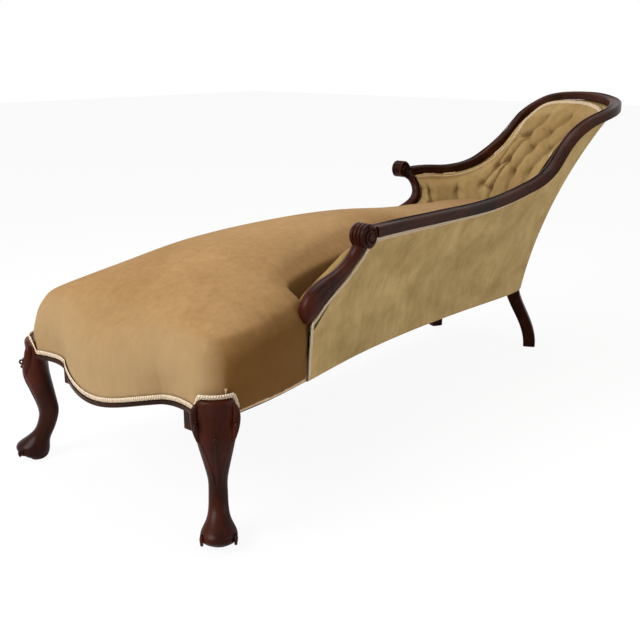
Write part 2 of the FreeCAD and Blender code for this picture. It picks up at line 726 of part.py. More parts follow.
def front_block_corner(side):
    """Right-angled corner of a front block, behind the foot-end rail and inside the side rail."""
    x = FRONT_SHOULDER * 1.8 + COVER + 4 * GAP + SEAT_RAIL_THICK + GAP
    rail = abs(plan_at(place_at(x + CORNER_BLOCK, side))[0].y) - STILE_OUTER - SEAT_RAIL_THICK
    return Vector(x, side * (rail - 3 * GAP), 0)


def corner_block(side, front):
    """Block that braces a leg to the rails on its two sides, with a flat face inwards."""
    inset = STILE_OUTER + SEAT_RAIL_THICK + 3 * GAP
    if front:
        corner = front_block_corner(side)
        points = [corner, corner + Vector(CORNER_BLOCK, 0, 0), corner + Vector(0, -side * CORNER_BLOCK, 0)]
    else:
        step = CORNER_BLOCK * 2 / PLAN_LENGTH
        middle = side * REAR_LEG_PLACE
        places = [middle - 1.3 * step, middle, middle + 1.3 * step]
        points = [frame_point(place, inset, 0) for place in places]
        points += [frame_point(place, inset + CORNER_BLOCK_THICK, 0)
                   for place in (middle + 0.8 * step, middle - 0.8 * step)]
    base = base_height(points[0].x) + (SEAT_RAIL_DEPTH - CORNER_BLOCK_DEPTH) / 2
    outline = [Vector(point.x, point.y, base) for point in points + points[:1]]
    return Part.Face(Part.makePolygon(outline)).extrude(Vector(0, 0, CORNER_BLOCK_DEPTH))


def block_screw(side, front):
    """Start of the screw through a corner block into its leg, and its direction."""
    if front:
        corner = front_block_corner(side) + Vector(CORNER_BLOCK / 2, -side * CORNER_BLOCK / 2, 0)
        direction = Vector(-1, side, 0).normalize()
        reference = corner.x - CORNER_BLOCK / 2
    else:
        place = side * REAR_LEG_PLACE
        step = CORNER_BLOCK * 2 / PLAN_LENGTH
        inset = STILE_OUTER + SEAT_RAIL_THICK + 3 * GAP + CORNER_BLOCK_THICK
        ends = [frame_point(place + shift * step, inset, 0) for shift in (-0.8, 0.8)]
        corner = (ends[0] + ends[1]) * 0.5
        direction = plan_at(place)[1]
        reference = frame_point(place - 1.3 * step, inset - CORNER_BLOCK_THICK, 0).x
    corner.z = base_height(reference) + SEAT_RAIL_DEPTH / 2
    return corner, direction


def corner_screw(side, front, grow=0.0):
    """Screw with a flat head that lies on the corner block's inner face."""
    start, direction = block_screw(side, front)
    shank = cylinder(start - direction * GAP, start + direction * (SCREW_LENGTH + grow), SCREW_RADIUS + grow)
    head = cylinder(start - direction * (SCREW_HEAD_THICK + GAP), start - direction * GAP, SCREW_HEAD)
    return fuse(shank, head)


def frame_dowels(grow=0.0):
    """Pairs of dowels that joint the side rails and the head rail to the legs."""
    spots = []
    inset = STILE_OUTER + SEAT_RAIL_THICK / 2
    leg_share = REAR_LEG_THICK / PLAN_LENGTH
    for side in (-1, 1):
        front = place_at(FRONT_LEG[-1][2] * 0.92, side)
        for place in (front, side * (REAR_LEG_PLACE + leg_share), side * (REAR_LEG_PLACE - leg_share)):
            outward = plan_at(place)[1]
            along = Vector(-outward.y, outward.x, 0) * (DOWEL_LENGTH / 2 + grow)
            for rise in (-0.5, 0.5):
                middle = frame_point(place, inset, wall_base(place) + SEAT_RAIL_DEPTH * 0.38)
                middle.z += rise * DOWEL_SPACING
                spots.append(cylinder(middle - along, middle + along, DOWEL_RADIUS + grow))
    return Part.makeCompound(spots)


def stile(place):
    """Upright between the seat rail and the arm or crest rail. It leans out with the wall and
    keeps its width, and its top follows the rail."""
    outward = plan_at(place)[1]
    outer, thick = STILE_OUTER + 2 * GAP, STILE_THICK - 2 * GAP
    wires = []
    for share in (0.0, 0.25, 0.5, 0.75, 1.0):
        def at(where):
            low = seat_rail_top(where) + GAP
            high = min(rail_seat(where, outer), rail_seat(where, outer + thick))
            return wall_point(where, outer, low + share * (high - low))

        small = 0.002
        stretch = (at(place + small) - at(place - small)).Length / (2 * small)
        half = STILE_WIDTH / 2 / stretch
        first, last = at(place - half), at(place + half)
        corners = [first, last, last - outward * thick, first - outward * thick]
        wires.append(Part.makePolygon(corners + corners[:1]))
    return loft(wires)


def tacking_rail(start, end):
    """Thin rail on the inside of the stiles that the inside back stands on."""
    outer = STILE_INNER
    return layer(tuft_places(start, end), outer, outer + TACKING_RAIL_THICK,
                 lambda place, _: pad_base(place) - TACKING_RAIL_DEPTH, lambda place, _: pad_base(place) - GAP)


# Tub upholstery

def outside_cover(start, end):
    return layer(tuft_places(start, end), 0, COVER, wall_base, rail_seat)


def outside_lining(start, end):
    return layer(tuft_places(start, end), COVER + GAP, COVER + GAP + LINING,
                 lambda place, inset: wall_base(place, inset) + COVER,
                 lambda place, inset: rail_seat(place, inset) - COVER)


def inside_hessian(start, end):
    outer = STILE_INNER
    return layer(tuft_places(start, end), outer, outer + HESSIAN,
                 lambda place, _: pad_base(place) + COVER, lambda place, inset: rail_seat(place, inset) - COVER)


def turn_at(place):
    """Count of buttons along the wall at a place."""
    low, high = TUFT_COURSE[0][0], TUFT_COURSE[-1][0]
    for _ in range(40):
        middle = (low + high) / 2
        if between(TUFT_COURSE, middle)[0] < place:
            low = middle
        else:
            high = middle
    return low


def tuft_places(start, end):
    """Start, end and every quarter of the way between buttons from one to the other."""
    first, last = 4 * turn_at(start), 4 * turn_at(end)
    quarters = range(math.ceil(first + 0.35), math.floor(last - 0.35) + 1)
    return [start] + [between(TUFT_COURSE, quarter / 4)[0] for quarter in quarters] + [end]


def pad_face(place, inset):
    """Inner face of the back as (height, inset from the outside face), knots with bulges between.
    The knots are the rows of buttons, and between its buttons a row is drawn in less. Where the
    wall is low, as at the arms, only the second row is drawn in."""
    low = pad_base(place)
    high = rail_seat(place, RAIL_WIDTH - RAIL_PROUD) - GIMP_WIDTH * rail_slant(place) - GAP
    tall = min(max((high - low - LOW_PAD) / (TALL_PAD - LOW_PAD), 0.0), 1.0)
    turn = turn_at(place)
    top_thick = RAIL_WIDTH - RAIL_PROUD - GAP
    last = len(TALL_ROWS) - 1
    shares = [a * tall + b * (1 - tall) for a, b in zip(TALL_ROWS, LOW_ROWS)]
    depth = TUFT_DEPTH * (0.6 + 0.4 * tall)
    swell = PAD_CROWN * (0.7 + 0.3 * tall)

    def drawn(row):
        """How far a row is drawn in here, from 0 to 1."""
        if row in (0, last):
            return 1.0
        wave = math.cos(2 * math.pi * (turn - 0.5 * (row % 2)))
        return (1.0 if row == 2 else tall) * (0.30 + 0.70 * max(wave, 0.0) ** 2)

    def thickness(row):
        share = shares[row]
        plain = WALL_THICK + (top_thick - WALL_THICK) * share ** 3
        if row in (0, last):
            return plain
        ease = 1 - 0.5 * share ** 3
        return plain + (swell * (1 - drawn(row)) - depth * drawn(row)) * ease

    profile = []
    for row, share in enumerate(shares):
        height = low + share * (high - low)
        profile.append((height, thickness(row) - inset))
        if row < last:
            bay = (shares[row + 1] - share) * (high - low)
            bulge = min(PAD_CROWN, BAY_SWELL * bay) * (drawn(row) + drawn(row + 1)) / 2
            middle = (thickness(row) + thickness(row + 1)) / 2
            profile.append((height + bay / 2, middle + bulge - inset))
    return profile


def pad(start, end, inner_inset, outer_inset):
    """Solid between the buttoned face, inset by inner_inset, and either the same face further in
    or, where outer_inset is None, the hessian behind the stuffing. It ends in a narrow upright
    edge under the rail, which the braid covers."""
    backing = STILE_INNER + HESSIAN + GAP
    wires = []
    for place in tuft_places(start, end):
        face = [wall_point(place, depth, height) for height, depth in pad_face(place, inner_inset)]
        inset = RAIL_WIDTH - RAIL_PROUD - GAP - inner_inset
        edge = wall_point(place, inset, rail_seat(place, inset))
        if outer_inset is None:
            low, top = pad_base(place), rail_seat(place, backing)
            back = [wall_point(place, backing, height) for height in (top, (low + top) / 2, low)]
            back_edge = [Part.makeLine(edge, back[0])]
        else:
            profile = pad_face(place, outer_inset)
            back = [wall_point(place, depth, height) for height, depth in reversed(profile)]
            inset = RAIL_WIDTH - RAIL_PROUD - GAP - outer_inset
            behind = wall_point(place, inset, rail_seat(place, inset))
            back_edge = [Part.makeLine(edge, behind), Part.makeLine(behind, back[0])]
        edges = arc_chain(face) + [Part.makeLine(face[-1], edge)] + back_edge + arc_chain(back)
        edges.append(Part.makeLine(back[-1], face[0]))
        wires.append(Part.Wire(edges))
    return loft(wires, ruled=True)


def inside_cover(start, end):
    return pad(start, end, 0.0, COVER)


def inside_stuffing(start, end):
    return pad(start, end, COVER + GAP, None)


def wall_envelope(start, end):
    """Space that the tub wall takes, with clearance towards the seat."""
    return layer(tuft_places(start, end), -CREST_THROW, WALL_THICK + PAD_CROWN + GAP,
                 lambda place, _: wall_base(place) - SEAT_RAIL_DEPTH, lambda place, _: rail_seat(place))


def button_seats():
    """Middle of each button's back, on the stuffing, and the direction that it faces."""
    seats = []
    first, last = math.ceil(TUFT_COURSE[0][0]), math.floor(TUFT_COURSE[-1][0])
    for row in range(1, len(TALL_ROWS) - 1):
        for count in range(first, last):
            place = between(TUFT_COURSE, count + 0.5 * (row % 2))[0]
            if not BUTTON_FROM < place < BUTTON_TO:
                continue
            low, high = pad_base(place), rail_seat(place)
            if row != 2 and high - low < (LOW_PAD + TALL_PAD) / 2:
                continue
            height, depth = pad_face(place, COVER + GAP)[2 * row]
            rise = wall_point(place, depth, height + 1.0) - wall_point(place, depth, height - 1.0)
            along = wall_point(place + 0.001, depth, height) - wall_point(place - 0.001, depth, height)
            facing = along.cross(rise).normalize()
            if facing.dot(plan_at(place)[1]) > 0:
                facing = facing * -1
            seats.append((wall_point(place, depth, height), facing))
    return seats


def tuft_buttons():
    """Covered buttons, seated in the tufts of the inside back."""
    return Part.makeCompound([cylinder(spot + facing * GAP, spot + facing * (GAP + BUTTON_THICK), BUTTON_RADIUS)
                              for spot, facing in button_seats()])


def button_holes():
    """Openings through the inside cover for the buttons, down to flat seats in the stuffing."""
    return Part.makeCompound([cylinder(spot, spot + facing * 2 * PAD_CROWN, BUTTON_RADIUS + GAP)
                              for spot, facing in button_seats()])


# Seat

def seat_outline(share, rise, side_inset, foot_inset):
    """One level of the seat: the frame's plan with its foot end bowed out, as a chain of arcs,
    drawn in towards its middle. share is its place between the frame's underside and the seat's
    edge, so the level lies in a plane that tilts with both, and rise lifts it above that."""
    half_scale = (FOOT_HALF_WIDTH - side_inset) / FOOT_HALF_WIDTH
    long_scale = (FRAME_LENGTH - foot_inset - side_inset) / FRAME_LENGTH

    def placed(x, y):
        x = foot_inset + x * long_scale
        low = base_height(x)
        height = low + (seat_height(x) - low) * share + rise
        return Vector(x, y * half_scale, height)

    side = [plan_at(-place)[0] for place in SEAT_ARCS]
    corner = side[0]
    bend = (FRONT_CORNER_ROUND * 0.29, FOOT_HALF_WIDTH - FRONT_CORNER_ROUND * 0.25)
    points = [(corner.x, -corner.y), bend] + front_points() + [(bend[0], -bend[1])]
    points += [(point.x, point.y) for point in side]
    points += [(point.x, -point.y) for point in reversed(side[:-1])]
    return Part.Wire(arc_chain([placed(x, y) for x, y in points]))


def seat_levels():
    """Levels from the skirt up to the seat's edge, for seat_outline: swelling sides, then a
    rounded edge."""
    levels = [(0.0, -SEAT_SKIRT, 0.0, 0.0)]
    for share, swell in ((0.0, 0.0), (0.13, 0.0), (0.26, 0.6), (0.42, 1.0), (0.56, 1.0)):
        levels.append((share, 0.0, -swell * SEAT_BULGE, -swell * SEAT_BULGE))
    for degrees in (12, 30, 48, 66, 82):
        turn = math.radians(degrees)
        side = SEAT_ROUND * (1 - math.cos(turn)) - SEAT_BULGE
        foot = FOOT_ROUND * (1 - math.cos(turn)) - SEAT_BULGE
        levels.append((1.0, -SEAT_ROUND * (1 - math.sin(turn)), side, foot))
    return levels


def dome_half(x):
    """Half the width of the seat's dome at x."""
    share = x / FRAME_LENGTH
    if share < DOME_FRONT[-1][0]:
        return between(DOME_FRONT, share)[0] * FOOT_HALF_WIDTH
    return abs(plan_at(place_at(x, 1))[0].y) - SEAT_DOME_INSET


def seat_dome(skin):
    """The domed top, as sections across the seat: each is an arc over a level line."""
    starts = [row[0] for row in DOME_FRONT]
    wires = []
    for share in starts + spread(starts[-1], DOME_COURSE[-1][0], 22)[1:]:
        x = share * FRAME_LENGTH
        half = dome_half(x) - skin
        edge = seat_height(x) - skin
        low = edge - SEAT_DOME_SEAT - max(-x, 0.0) * 0.4
        top = edge + between(DOME_COURSE, share)[0] * SEAT_DOME
        first, last = Vector(x, -half, low), Vector(x, half, low)
        wires.append(Part.Wire([arc(first, Vector(x, 0, top), last), Part.makeLine(last, first)]))
    return loft(wires, ruled=True)


def seat_form(skin):
    """The seat's outer form, or with skin the form that lies that much further in."""
    wires = []
    for share, rise, side, foot in seat_levels():
        wires.append(seat_outline(share, rise - skin, side + skin, foot + skin))
    return fuse(loft(wires, ruled=True), seat_dome(skin))


def below_frame_top():
    """Space up to the top of the seat rails, which the stuffing stays out of."""
    wires = [seat_outline(0.0, -2 * SEAT_SKIRT, 0.0, 0.0),
             seat_outline(0.0, SEAT_RAIL_DEPTH + GAP, -2 * SEAT_BULGE, -2 * SEAT_BULGE)]
    return loft(wires, ruled=True)


def spring_chamber():
    """Space under the stuffing that holds the springs and the hessian."""
    inset = COVER + LINING + SEAT_RAIL_THICK + 10 * GAP
    top = HESSIAN + 2 * GAP - SEAT_PADDING
    return loft([seat_outline(0.0, 0.0, inset, inset), seat_outline(1.0, top, inset, inset)], ruled=True)


def underside():
    """Space below the seat frame behind the foot-end rail."""
    reach = 2 * FOOT_HALF_WIDTH
    start, end = FRONT_SHOULDER + SEAT_RAIL_THICK / 2, 2 * FRAME_LENGTH
    points = [(start, 0.0), (end, 0.0), (end, base_height(end)), (start, base_height(start)), (start, 0.0)]
    outline = Part.makePolygon([Vector(x, -reach, z) for x, z in points])
    return Part.Face(outline).extrude(Vector(0, 2 * reach, 0))


def spring_places():
    """Rows of springs across the seat, three to a row where it is wide and two where it narrows."""
    places = []
    count = int((FRAME_LENGTH - 2 * SPRING_EDGE) / SPRING_PITCH) + 1
    for x in spread(SPRING_EDGE, SPRING_EDGE + SPRING_PITCH * (count - 1), count):
        outer = abs(plan_at(place_at(x + SPRING_RADIUS / 2, -1))[0].y) - SPRING_EDGE
        row = (-outer, 0.0, outer) if outer > 2.2 * SPRING_RADIUS else (-outer, outer)
        places += [(x, y) for y in row if outer > SPRING_RADIUS]
    return places


def spring(x, y):
    """One waisted coil spring, as the solid that its turns stand round."""
    low = base_height(x - SPRING_RADIUS)
    high = seat_height(x) - SEAT_PADDING - TWINE - 2 * GAP
    middle = (low + high) / 2
    side = [Vector(x + SPRING_RADIUS, y, low), Vector(x + SPRING_WAIST, y, middle),
            Vector(x + SPRING_RADIUS, y, high)]
    outline = [arc(*side), Part.makeLine(side[2], Vector(x, y, high)),
               Part.makeLine(Vector(x, y, high), Vector(x, y, low)), Part.makeLine(Vector(x, y, low), side[0])]
    face = Part.Face(Part.Wire(outline))
    return face.revolve(Vector(x, y, 0), Vector(0, 0, 1), 360)


def spring_twine():
    """Cords lashed across the rows of springs."""
    cords = []
    radius = TWINE / 2
    for x in sorted({x for x, _ in spring_places()}):
        height = seat_height(x) - SEAT_PADDING - radius - GAP
        edge = abs(plan_at(place_at(x + SPRING_RADIUS / 2, -1))[0].y)
        reach = edge - STILE_OUTER - SEAT_RAIL_THICK - 12 * GAP
        cords.append(cylinder(Vector(x, -reach, height), Vector(x, reach, height), radius))
    return Part.makeCompound(cords)


def seat_hessian():
    """Hessian stretched over the springs, under the stuffing."""
    inset = COVER + LINING + SEAT_RAIL_THICK + 12 * GAP
    low = GAP - SEAT_PADDING
    return loft([seat_outline(1.0, low, inset, inset), seat_outline(1.0, low + HESSIAN, inset, inset)],
                ruled=True)


def strap(x_low, x_high, y_low, y_high, drop):
    """Webbing strap under the frame, tilted with it."""
    points = [(x_low, y_low), (x_high, y_low), (x_high, y_high), (x_low, y_high), (x_low, y_low)]
    outline = [Vector(x, y, base_height(x) - drop) for x, y in points]
    return Part.Face(Part.makePolygon(outline)).extrude(Vector(0, 0, -WEB_THICK))


def webbing_edge(x):
    """How far from the centre line webbing may reach at x, to the middle of the side rails."""
    return abs(plan_at(place_at(x, -1))[0].y) - STILE_OUTER - SEAT_RAIL_THICK / 2


def lengthwise_webbing():
    """Straps under the crosswise ones. The outer ones end where the frame narrows."""
    straps = []
    start = FRONT_SHOULDER * 1.8 + COVER + SEAT_RAIL_THICK + 3 * GAP
    for number in range(-3, 4):
        y = number * WEB_PITCH
        end = start + WEB_PITCH
        while end < FRAME_LENGTH - STILE_OUTER and webbing_edge(end) > abs(y) + WEB_WIDTH / 2:
            end += 5.0
        straps.append(strap(start, end, y - WEB_WIDTH / 2, y + WEB_WIDTH / 2, GAP + WEB_THICK + GAP))
    return Part.makeCompound(straps)


def crosswise_webbing():
    """Straps directly under the springs."""
    straps = []
    count = int((FRAME_LENGTH - SPRING_EDGE - WEB_PITCH / 2) / WEB_PITCH) + 1
    for index in range(count):
        x = SPRING_EDGE + index * WEB_PITCH
        reach = min(webbing_edge(x - WEB_WIDTH / 2), webbing_edge(x + WEB_WIDTH / 2))
        leg = rear_leg_top(-1)[0]
        if abs(x - leg.x) < (WEB_WIDTH + REAR_LEG_THICK) * 0.62:
            reach = abs(leg.y) - REAR_LEG_THICK * 0.75
        straps.append(strap(x - WEB_WIDTH / 2, x + WEB_WIDTH / 2, -reach, reach, GAP))
    return Part.makeCompound(straps)


def bottoming_cloth():
    """Dark cloth that closes the underside."""
    drop = 2 * WEB_THICK + 3 * GAP
    return loft([seat_outline(0.0, -drop - BOTTOM_CLOTH, 16.0, 34.0), seat_outline(0.0, -drop, 16.0, 34.0)],
                ruled=True)


# Trim and fasteners

def wall_gimp(start, end):
    """Braid along the outside cover, close under the rail."""
    return layer(tuft_places(start, end), -GIMP_THICK - GAP, -GAP,
                 lambda place, inset: rail_seat(place, inset) - GIMP_WIDTH * rail_slant(place),
                 lambda place, inset: rail_seat(place, inset) - 5 * GAP)


def inside_gimp(start, end):
    """Braid on the upright edge of the inside back, close under the rail."""
    inset = RAIL_WIDTH - RAIL_PROUD
    return layer(tuft_places(start, end), inset, inset + GIMP_THICK,
                 lambda place, inset: rail_seat(place, inset) - GIMP_WIDTH * rail_slant(place),
                 lambda place, inset: rail_seat(place, inset) - GAP)


def foot_gimp():
    """Braid along the foot end, on the cover just above the moulding."""
    low = FRONT_RAIL_LIP + 2 * GAP
    return foot_strip(-GIMP_THICK - GAP, -GAP, low, low + GIMP_WIDTH)


def bottom_tacks():
    """Tacks that hold the bottoming cloth to the seat rails, left out under the rear legs."""
    tacks = []
    drop = 2 * WEB_THICK + 4 * GAP + BOTTOM_CLOTH
    count = int(PLAN_LENGTH * 0.9 / TACK_PITCH)
    for place in spread(-0.93, 0.93, count):
        if abs(abs(place) - REAR_LEG_PLACE) * PLAN_LENGTH / 2 < REAR_LEG_THICK:
            continue
        point, outward = plan_at(place)
        spot = point - outward * (STILE_OUTER + SEAT_RAIL_THICK / 2 + 4.0)
        top = Vector(spot.x, spot.y, base_height(spot.x + TACK_HEAD) - drop)
        tacks.append(cylinder(top, top - Vector(0, 0, TACK_THICK), TACK_HEAD))
    return Part.makeCompound(tacks)


# Assembly

def build():
    """Every node of the chaise longue, by name, in the drawing's own place."""
    nodes = {}
    side_name = {-1: "near", 1: "far"}
    front_legs = [front_leg(side, GAP) for side in side_name]
    rear_legs = [rear_leg(side, GAP) for side in side_name]
    holes = frame_dowels(FIT)
    screws = {(side, front): corner_screw(side, front) for side in side_name for front in (True, False)}
    screw_holes = [corner_screw(side, front, FIT) for side, front in screws]

    nodes["long_arm_rail"] = rail_piece(ARM_START, ARM_JOINT, 6)
    nodes["crest_rail"] = rail_piece(ARM_JOINT, SHORT_ARM_JOINT, 30)
    nodes["short_arm_rail"] = rail_piece(SHORT_ARM_JOINT, SHORT_ARM_END, 5)
    nodes["foot_end_rail"] = trim(foot_rail(), *front_legs)
    nodes["head_seat_rail"] = trim(head_rail(), *rear_legs, holes)

    for side, name in side_name.items():
        nodes[name + "_arm_support"] = fuse(support_body(side), support_scroll(side))
        leg = fuse(front_leg(side), front_leg_ears(side))
        nodes[name + "_front_leg"] = trim(leg, holes, *screw_holes)
        nodes[name + "_rear_leg"] = trim(rear_leg(side), holes, *screw_holes)
        nodes[name + "_side_rail"] = trim(side_rail(side), *front_legs, *rear_legs, holes)
        nodes[name + "_front_corner_block"] = trim(corner_block(side, True), *front_legs, *screw_holes)
        nodes[name + "_rear_corner_block"] = trim(corner_block(side, False), *rear_legs, *screw_holes)
    nodes["frame_dowels"] = frame_dowels()
    nodes["corner_block_screws"] = Part.makeCompound(list(screws.values()))

    ends = [wall_front_cutter(side) for side in side_name] + [scroll_room(side) for side in side_name]
    whole = (NEAR_FRONT, FAR_FRONT)
    around = {
        "outside_lining": outside_lining(*whole),
        "inside_hessian": inside_hessian(*whole),
        "outside_gimp": wall_gimp(*whole),
        "inside_gimp": inside_gimp(*whole),
    }
    buttons = button_holes()
    walls = (("near", NEAR_FRONT, NEAR_CORNER), ("head", NEAR_CORNER, FAR_CORNER),
             ("far", FAR_CORNER, FAR_FRONT))
    for name, start, end in walls:
        around["outside_back_" + name] = outside_cover(start, end)
        around["tacking_rail_" + name] = tacking_rail(start, end)
        around["inside_stuffing_" + name] = trim(inside_stuffing(start, end), buttons)
        around["inside_back_" + name] = trim(inside_cover(start, end), buttons)
    for name, shape in around.items():
        nodes[name] = trim(shape, *ends)

    for name, stiles in (("near", NEAR_STILES), ("head", HEAD_STILES), ("far", FAR_STILES)):
        for number, place in enumerate(stiles, 1):
            nodes["%s_stile_%d" % (name, number)] = stile(place)

    tub = [trim(wall_envelope(start, end), *ends) for _, start, end in walls]
    supports = [support_body(side, GAP) for side in side_name]
    core = seat_form(COVER + GAP)
    cover = seat_form(0.0).cut(seat_form(COVER))
    nodes["seat_cover"] = trim(cover, underside(), below_apron(FRONT_RAIL_LIP + GAP), *tub, *front_legs, *supports)
    nodes["seat_stuffing"] = trim(core, below_frame_top(), spring_chamber(), *tub, *front_legs, *supports)
    nodes["seat_hessian"] = seat_hessian()
    nodes["seat_springs"] = Part.makeCompound([spring(x, y) for x, y in spring_places()])
    nodes["spring_twine"] = spring_twine()
    nodes["lengthwise_webbing"] = lengthwise_webbing()
    nodes["crosswise_webbing"] = crosswise_webbing()
    nodes["bottoming_cloth"] = trim(bottoming_cloth(), *front_legs, *rear_legs)
    nodes["foot_end_gimp"] = trim(foot_gimp(), *front_legs)
    nodes["bottom_tacks"] = bottom_tacks()
    nodes["back_buttons"] = tuft_buttons()
    return nodes


def export(nodes):
    """Move the model to its origin and write one file per node."""
    box = FreeCAD.BoundBox()
    for shape in nodes.values():
        box.add(shape.optimalBoundingBox(False, False))
    shift = Vector(-(box.XMin + box.XMax) / 2, -(box.YMin + box.YMax) / 2, -box.ZMin)
    print("shift", [round(value, 3) for value in shift])
    os.makedirs("parts", exist_ok=True)
    for name, shape in nodes.items():
        shape.translate(shift)
        shape.exportStep("parts/" + name + ".step")
        print(name, shape.isValid(), len(shape.Solids), round(shape.Volume))


if __name__ == "__main__":
    export(build())
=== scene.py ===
import math

import bpy
import numpy as np
from mathutils import Matrix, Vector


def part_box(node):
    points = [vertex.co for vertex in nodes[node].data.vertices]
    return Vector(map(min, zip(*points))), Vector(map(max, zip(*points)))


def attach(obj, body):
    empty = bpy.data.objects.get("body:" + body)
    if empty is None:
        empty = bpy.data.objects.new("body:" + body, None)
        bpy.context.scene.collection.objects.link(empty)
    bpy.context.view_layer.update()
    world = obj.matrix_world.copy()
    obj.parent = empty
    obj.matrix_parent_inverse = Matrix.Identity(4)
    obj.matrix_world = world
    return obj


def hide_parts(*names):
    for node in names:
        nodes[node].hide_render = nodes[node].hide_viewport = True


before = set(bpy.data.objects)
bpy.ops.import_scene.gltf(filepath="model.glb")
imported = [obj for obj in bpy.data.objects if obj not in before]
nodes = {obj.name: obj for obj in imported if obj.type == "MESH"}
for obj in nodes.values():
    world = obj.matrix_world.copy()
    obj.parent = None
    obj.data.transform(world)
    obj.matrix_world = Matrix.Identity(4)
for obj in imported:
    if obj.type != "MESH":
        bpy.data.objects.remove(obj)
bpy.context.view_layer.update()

# Sizes in millimetres, in the drawing's own frame: x from the front feet to the head end,
# y from the centre line, z from the floor. They are the ones that the frame was built with.
FRAME_LENGTH = 1635.0
FOOT_HALF_WIDTH = 331.0
HEAD_HALF_WIDTH = 206.0
FOOT_RAIL_HEIGHT = 270.0
HEAD_RAIL_HEIGHT = 212.0
ARM_HEIGHT = 575.0
CREST_HEIGHT = 830.0
ARM_THROW = 110.0
CREST_THROW = 280.0
FLARE_MIDDLE = 0.345
SEAT_EDGE_FOOT = 424.0
SEAT_EDGE_HEAD = 478.0
RAIL_WIDTH = 36.0
RAIL_FACE = 25.0
RAIL_PROUD = 3.0
RAIL_SEATING = 0.9
STILE_OUTER = 5.4
WALL_THICK = 64.0
WALL_PAD_BASE = 40.0
PIT_DEPTH = 18.6
PIT_WIDTH = 15.0
PUFF = 19.0
TUFT_BAY = 34.0
PAD_LAP = 12.0
LOW_PAD = 115.0
TALL_PAD = 250.0
BUTTON_FROM, BUTTON_TO = -0.66, 0.15
BUTTON_RADIUS = 8.5
BUTTON_RISE, BUTTON_SUNK = 4.6, 1.2
GIMP_WIDTH = 11.0
GIMP_THICK = 2.4
GIMP_PITCH = 5.2
BRAID_STEP = 1.1
SUPPORT_WIDTH = 38.0
SUPPORT_FOOT_BACK = 28.0
SCROLL_RADIUS = 26.0
FRONT_RAIL_BOW = 51.0
FRONT_SHOULDER = 6.0
FRONT_SHOULDER_HALF = 170.0
FRONT_RAIL_DROP = 31.0
FRONT_CORNER_ROUND = 60.0
FRONT_MOULDING = 9.6
LEG_TOP = 308.0
NEAR_FRONT, FAR_FRONT = -0.850, 0.245

# Plan of the frame: share of its length, then, for its sides, the share of the way from the head's
# half width to the foot's, and, for its head end, the share of the head's half width.
SIDE_PLAN = ((0.021, 1.000), (0.098, 0.936), (0.182, 0.768), (0.313, 0.440), (0.470, 0.184),
             (0.601, 0.072), (0.739, 0.032), (0.856, 0.000))
HEAD_PLAN = ((0.917, 0.922), (0.963, 0.704), (0.991, 0.388))
# The rail: place along the plan from -1 to 1, then shares of the way from the arm to the crest, of
# its throw and of its height.
RAIL_COURSE = np.array((
    (-0.860, -0.28, 0.06), (-0.728, -0.12, 0.05), (-0.550, 0.02, 0.02), (-0.410, 0.06, 0.01),
    (-0.307, 0.12, 0.09), (-0.247, 0.22, 0.23), (-0.217, 0.32, 0.49), (-0.188, 0.43, 0.68),
    (-0.157, 0.60, 0.80), (-0.128, 0.86, 0.88), (-0.096, 1.03, 0.95), (-0.056, 1.00, 1.00),
    (-0.015, 0.93, 0.94), (0.011, 0.70, 0.73), (0.031, 0.36, 0.36), (0.055, 0.12, 0.10),
    (0.083, 0.05, 0.00), (0.122, 0.04, 0.00), (0.156, 0.01, -0.01), (0.260, 0.00, -0.01)))
# Rows of buttons as shares of the inside back's height, where it is tall and where it is low, and
# the place along the plan of each button by its count.
TALL_ROWS = np.array((0.0, 0.36, 0.57, 0.71, 0.85, 1.0))
LOW_ROWS = np.array((0.0, 0.26, 0.50, 0.68, 0.84, 1.0))
TUFT_COURSE = np.array((
    (-19.0, -0.921), (-6.0, -0.232), (-5.0, -0.180), (-4.0, -0.136), (-3.0, -0.098), (-2.0, -0.064),
    (-1.0, -0.034), (0.0, -0.003), (1.0, 0.032), (2.0, 0.073), (3.0, 0.126), (5.0, 0.232)))
# Middle line of the arm supports: how far towards the foot from the scroll's centre, how far
# below it, and half the thickness. The centre is given by its x and its drop below the rail.
NEAR_SUPPORT = np.array((
    (2.0, 8.0, 17.0), (10.0, 36.0, 15.0), (27.0, 57.0, 14.0), (56.0, 78.0, 16.0), (92.0, 94.0, 20.0),
    (128.0, 108.0, 25.0), (153.0, 124.0, 27.0), (167.0, 142.0, 24.0), (173.0, 158.0, 16.0),
    (175.0, 168.0, 6.0)))
FAR_SUPPORT = np.array((
    (-14.0, 6.0, 15.0), (-32.0, 34.0, 13.0), (-35.0, 66.0, 12.0), (-18.0, 96.0, 14.0),
    (28.0, 122.0, 18.0), (74.0, 138.0, 23.0), (106.0, 150.0, 26.0), (124.0, 164.0, 23.0),
    (132.0, 178.0, 16.0), (134.0, 187.0, 6.0)))
SCROLL_CENTRE = {-1: (474.0, 21.0), 1: (1488.0, 5.0)}

_, head_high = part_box("head_seat_rail")
foot_low, foot_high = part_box("foot_end_rail")
SHIFT = np.array([head_high.x * 1000 - (FRAME_LENGTH - STILE_OUTER), (foot_low.y + foot_high.y) * 500, 0.0])


def metres(points):
    """Points of the drawing, in millimetres, as metres of the frame."""
    return (np.asarray(points, float) + SHIFT) / 1000


# Curves

def travelled(path):
    """Distance along a path at each of its points."""
    return np.concatenate([[0.0], np.cumsum(np.linalg.norm(np.diff(path, axis=0), axis=1))])


def eased(t):
    """Smooth step from nothing to one: three squares less two cubes."""
    t = np.clip(t, 0, 1)
    return t * t * (3 - 2 * t)


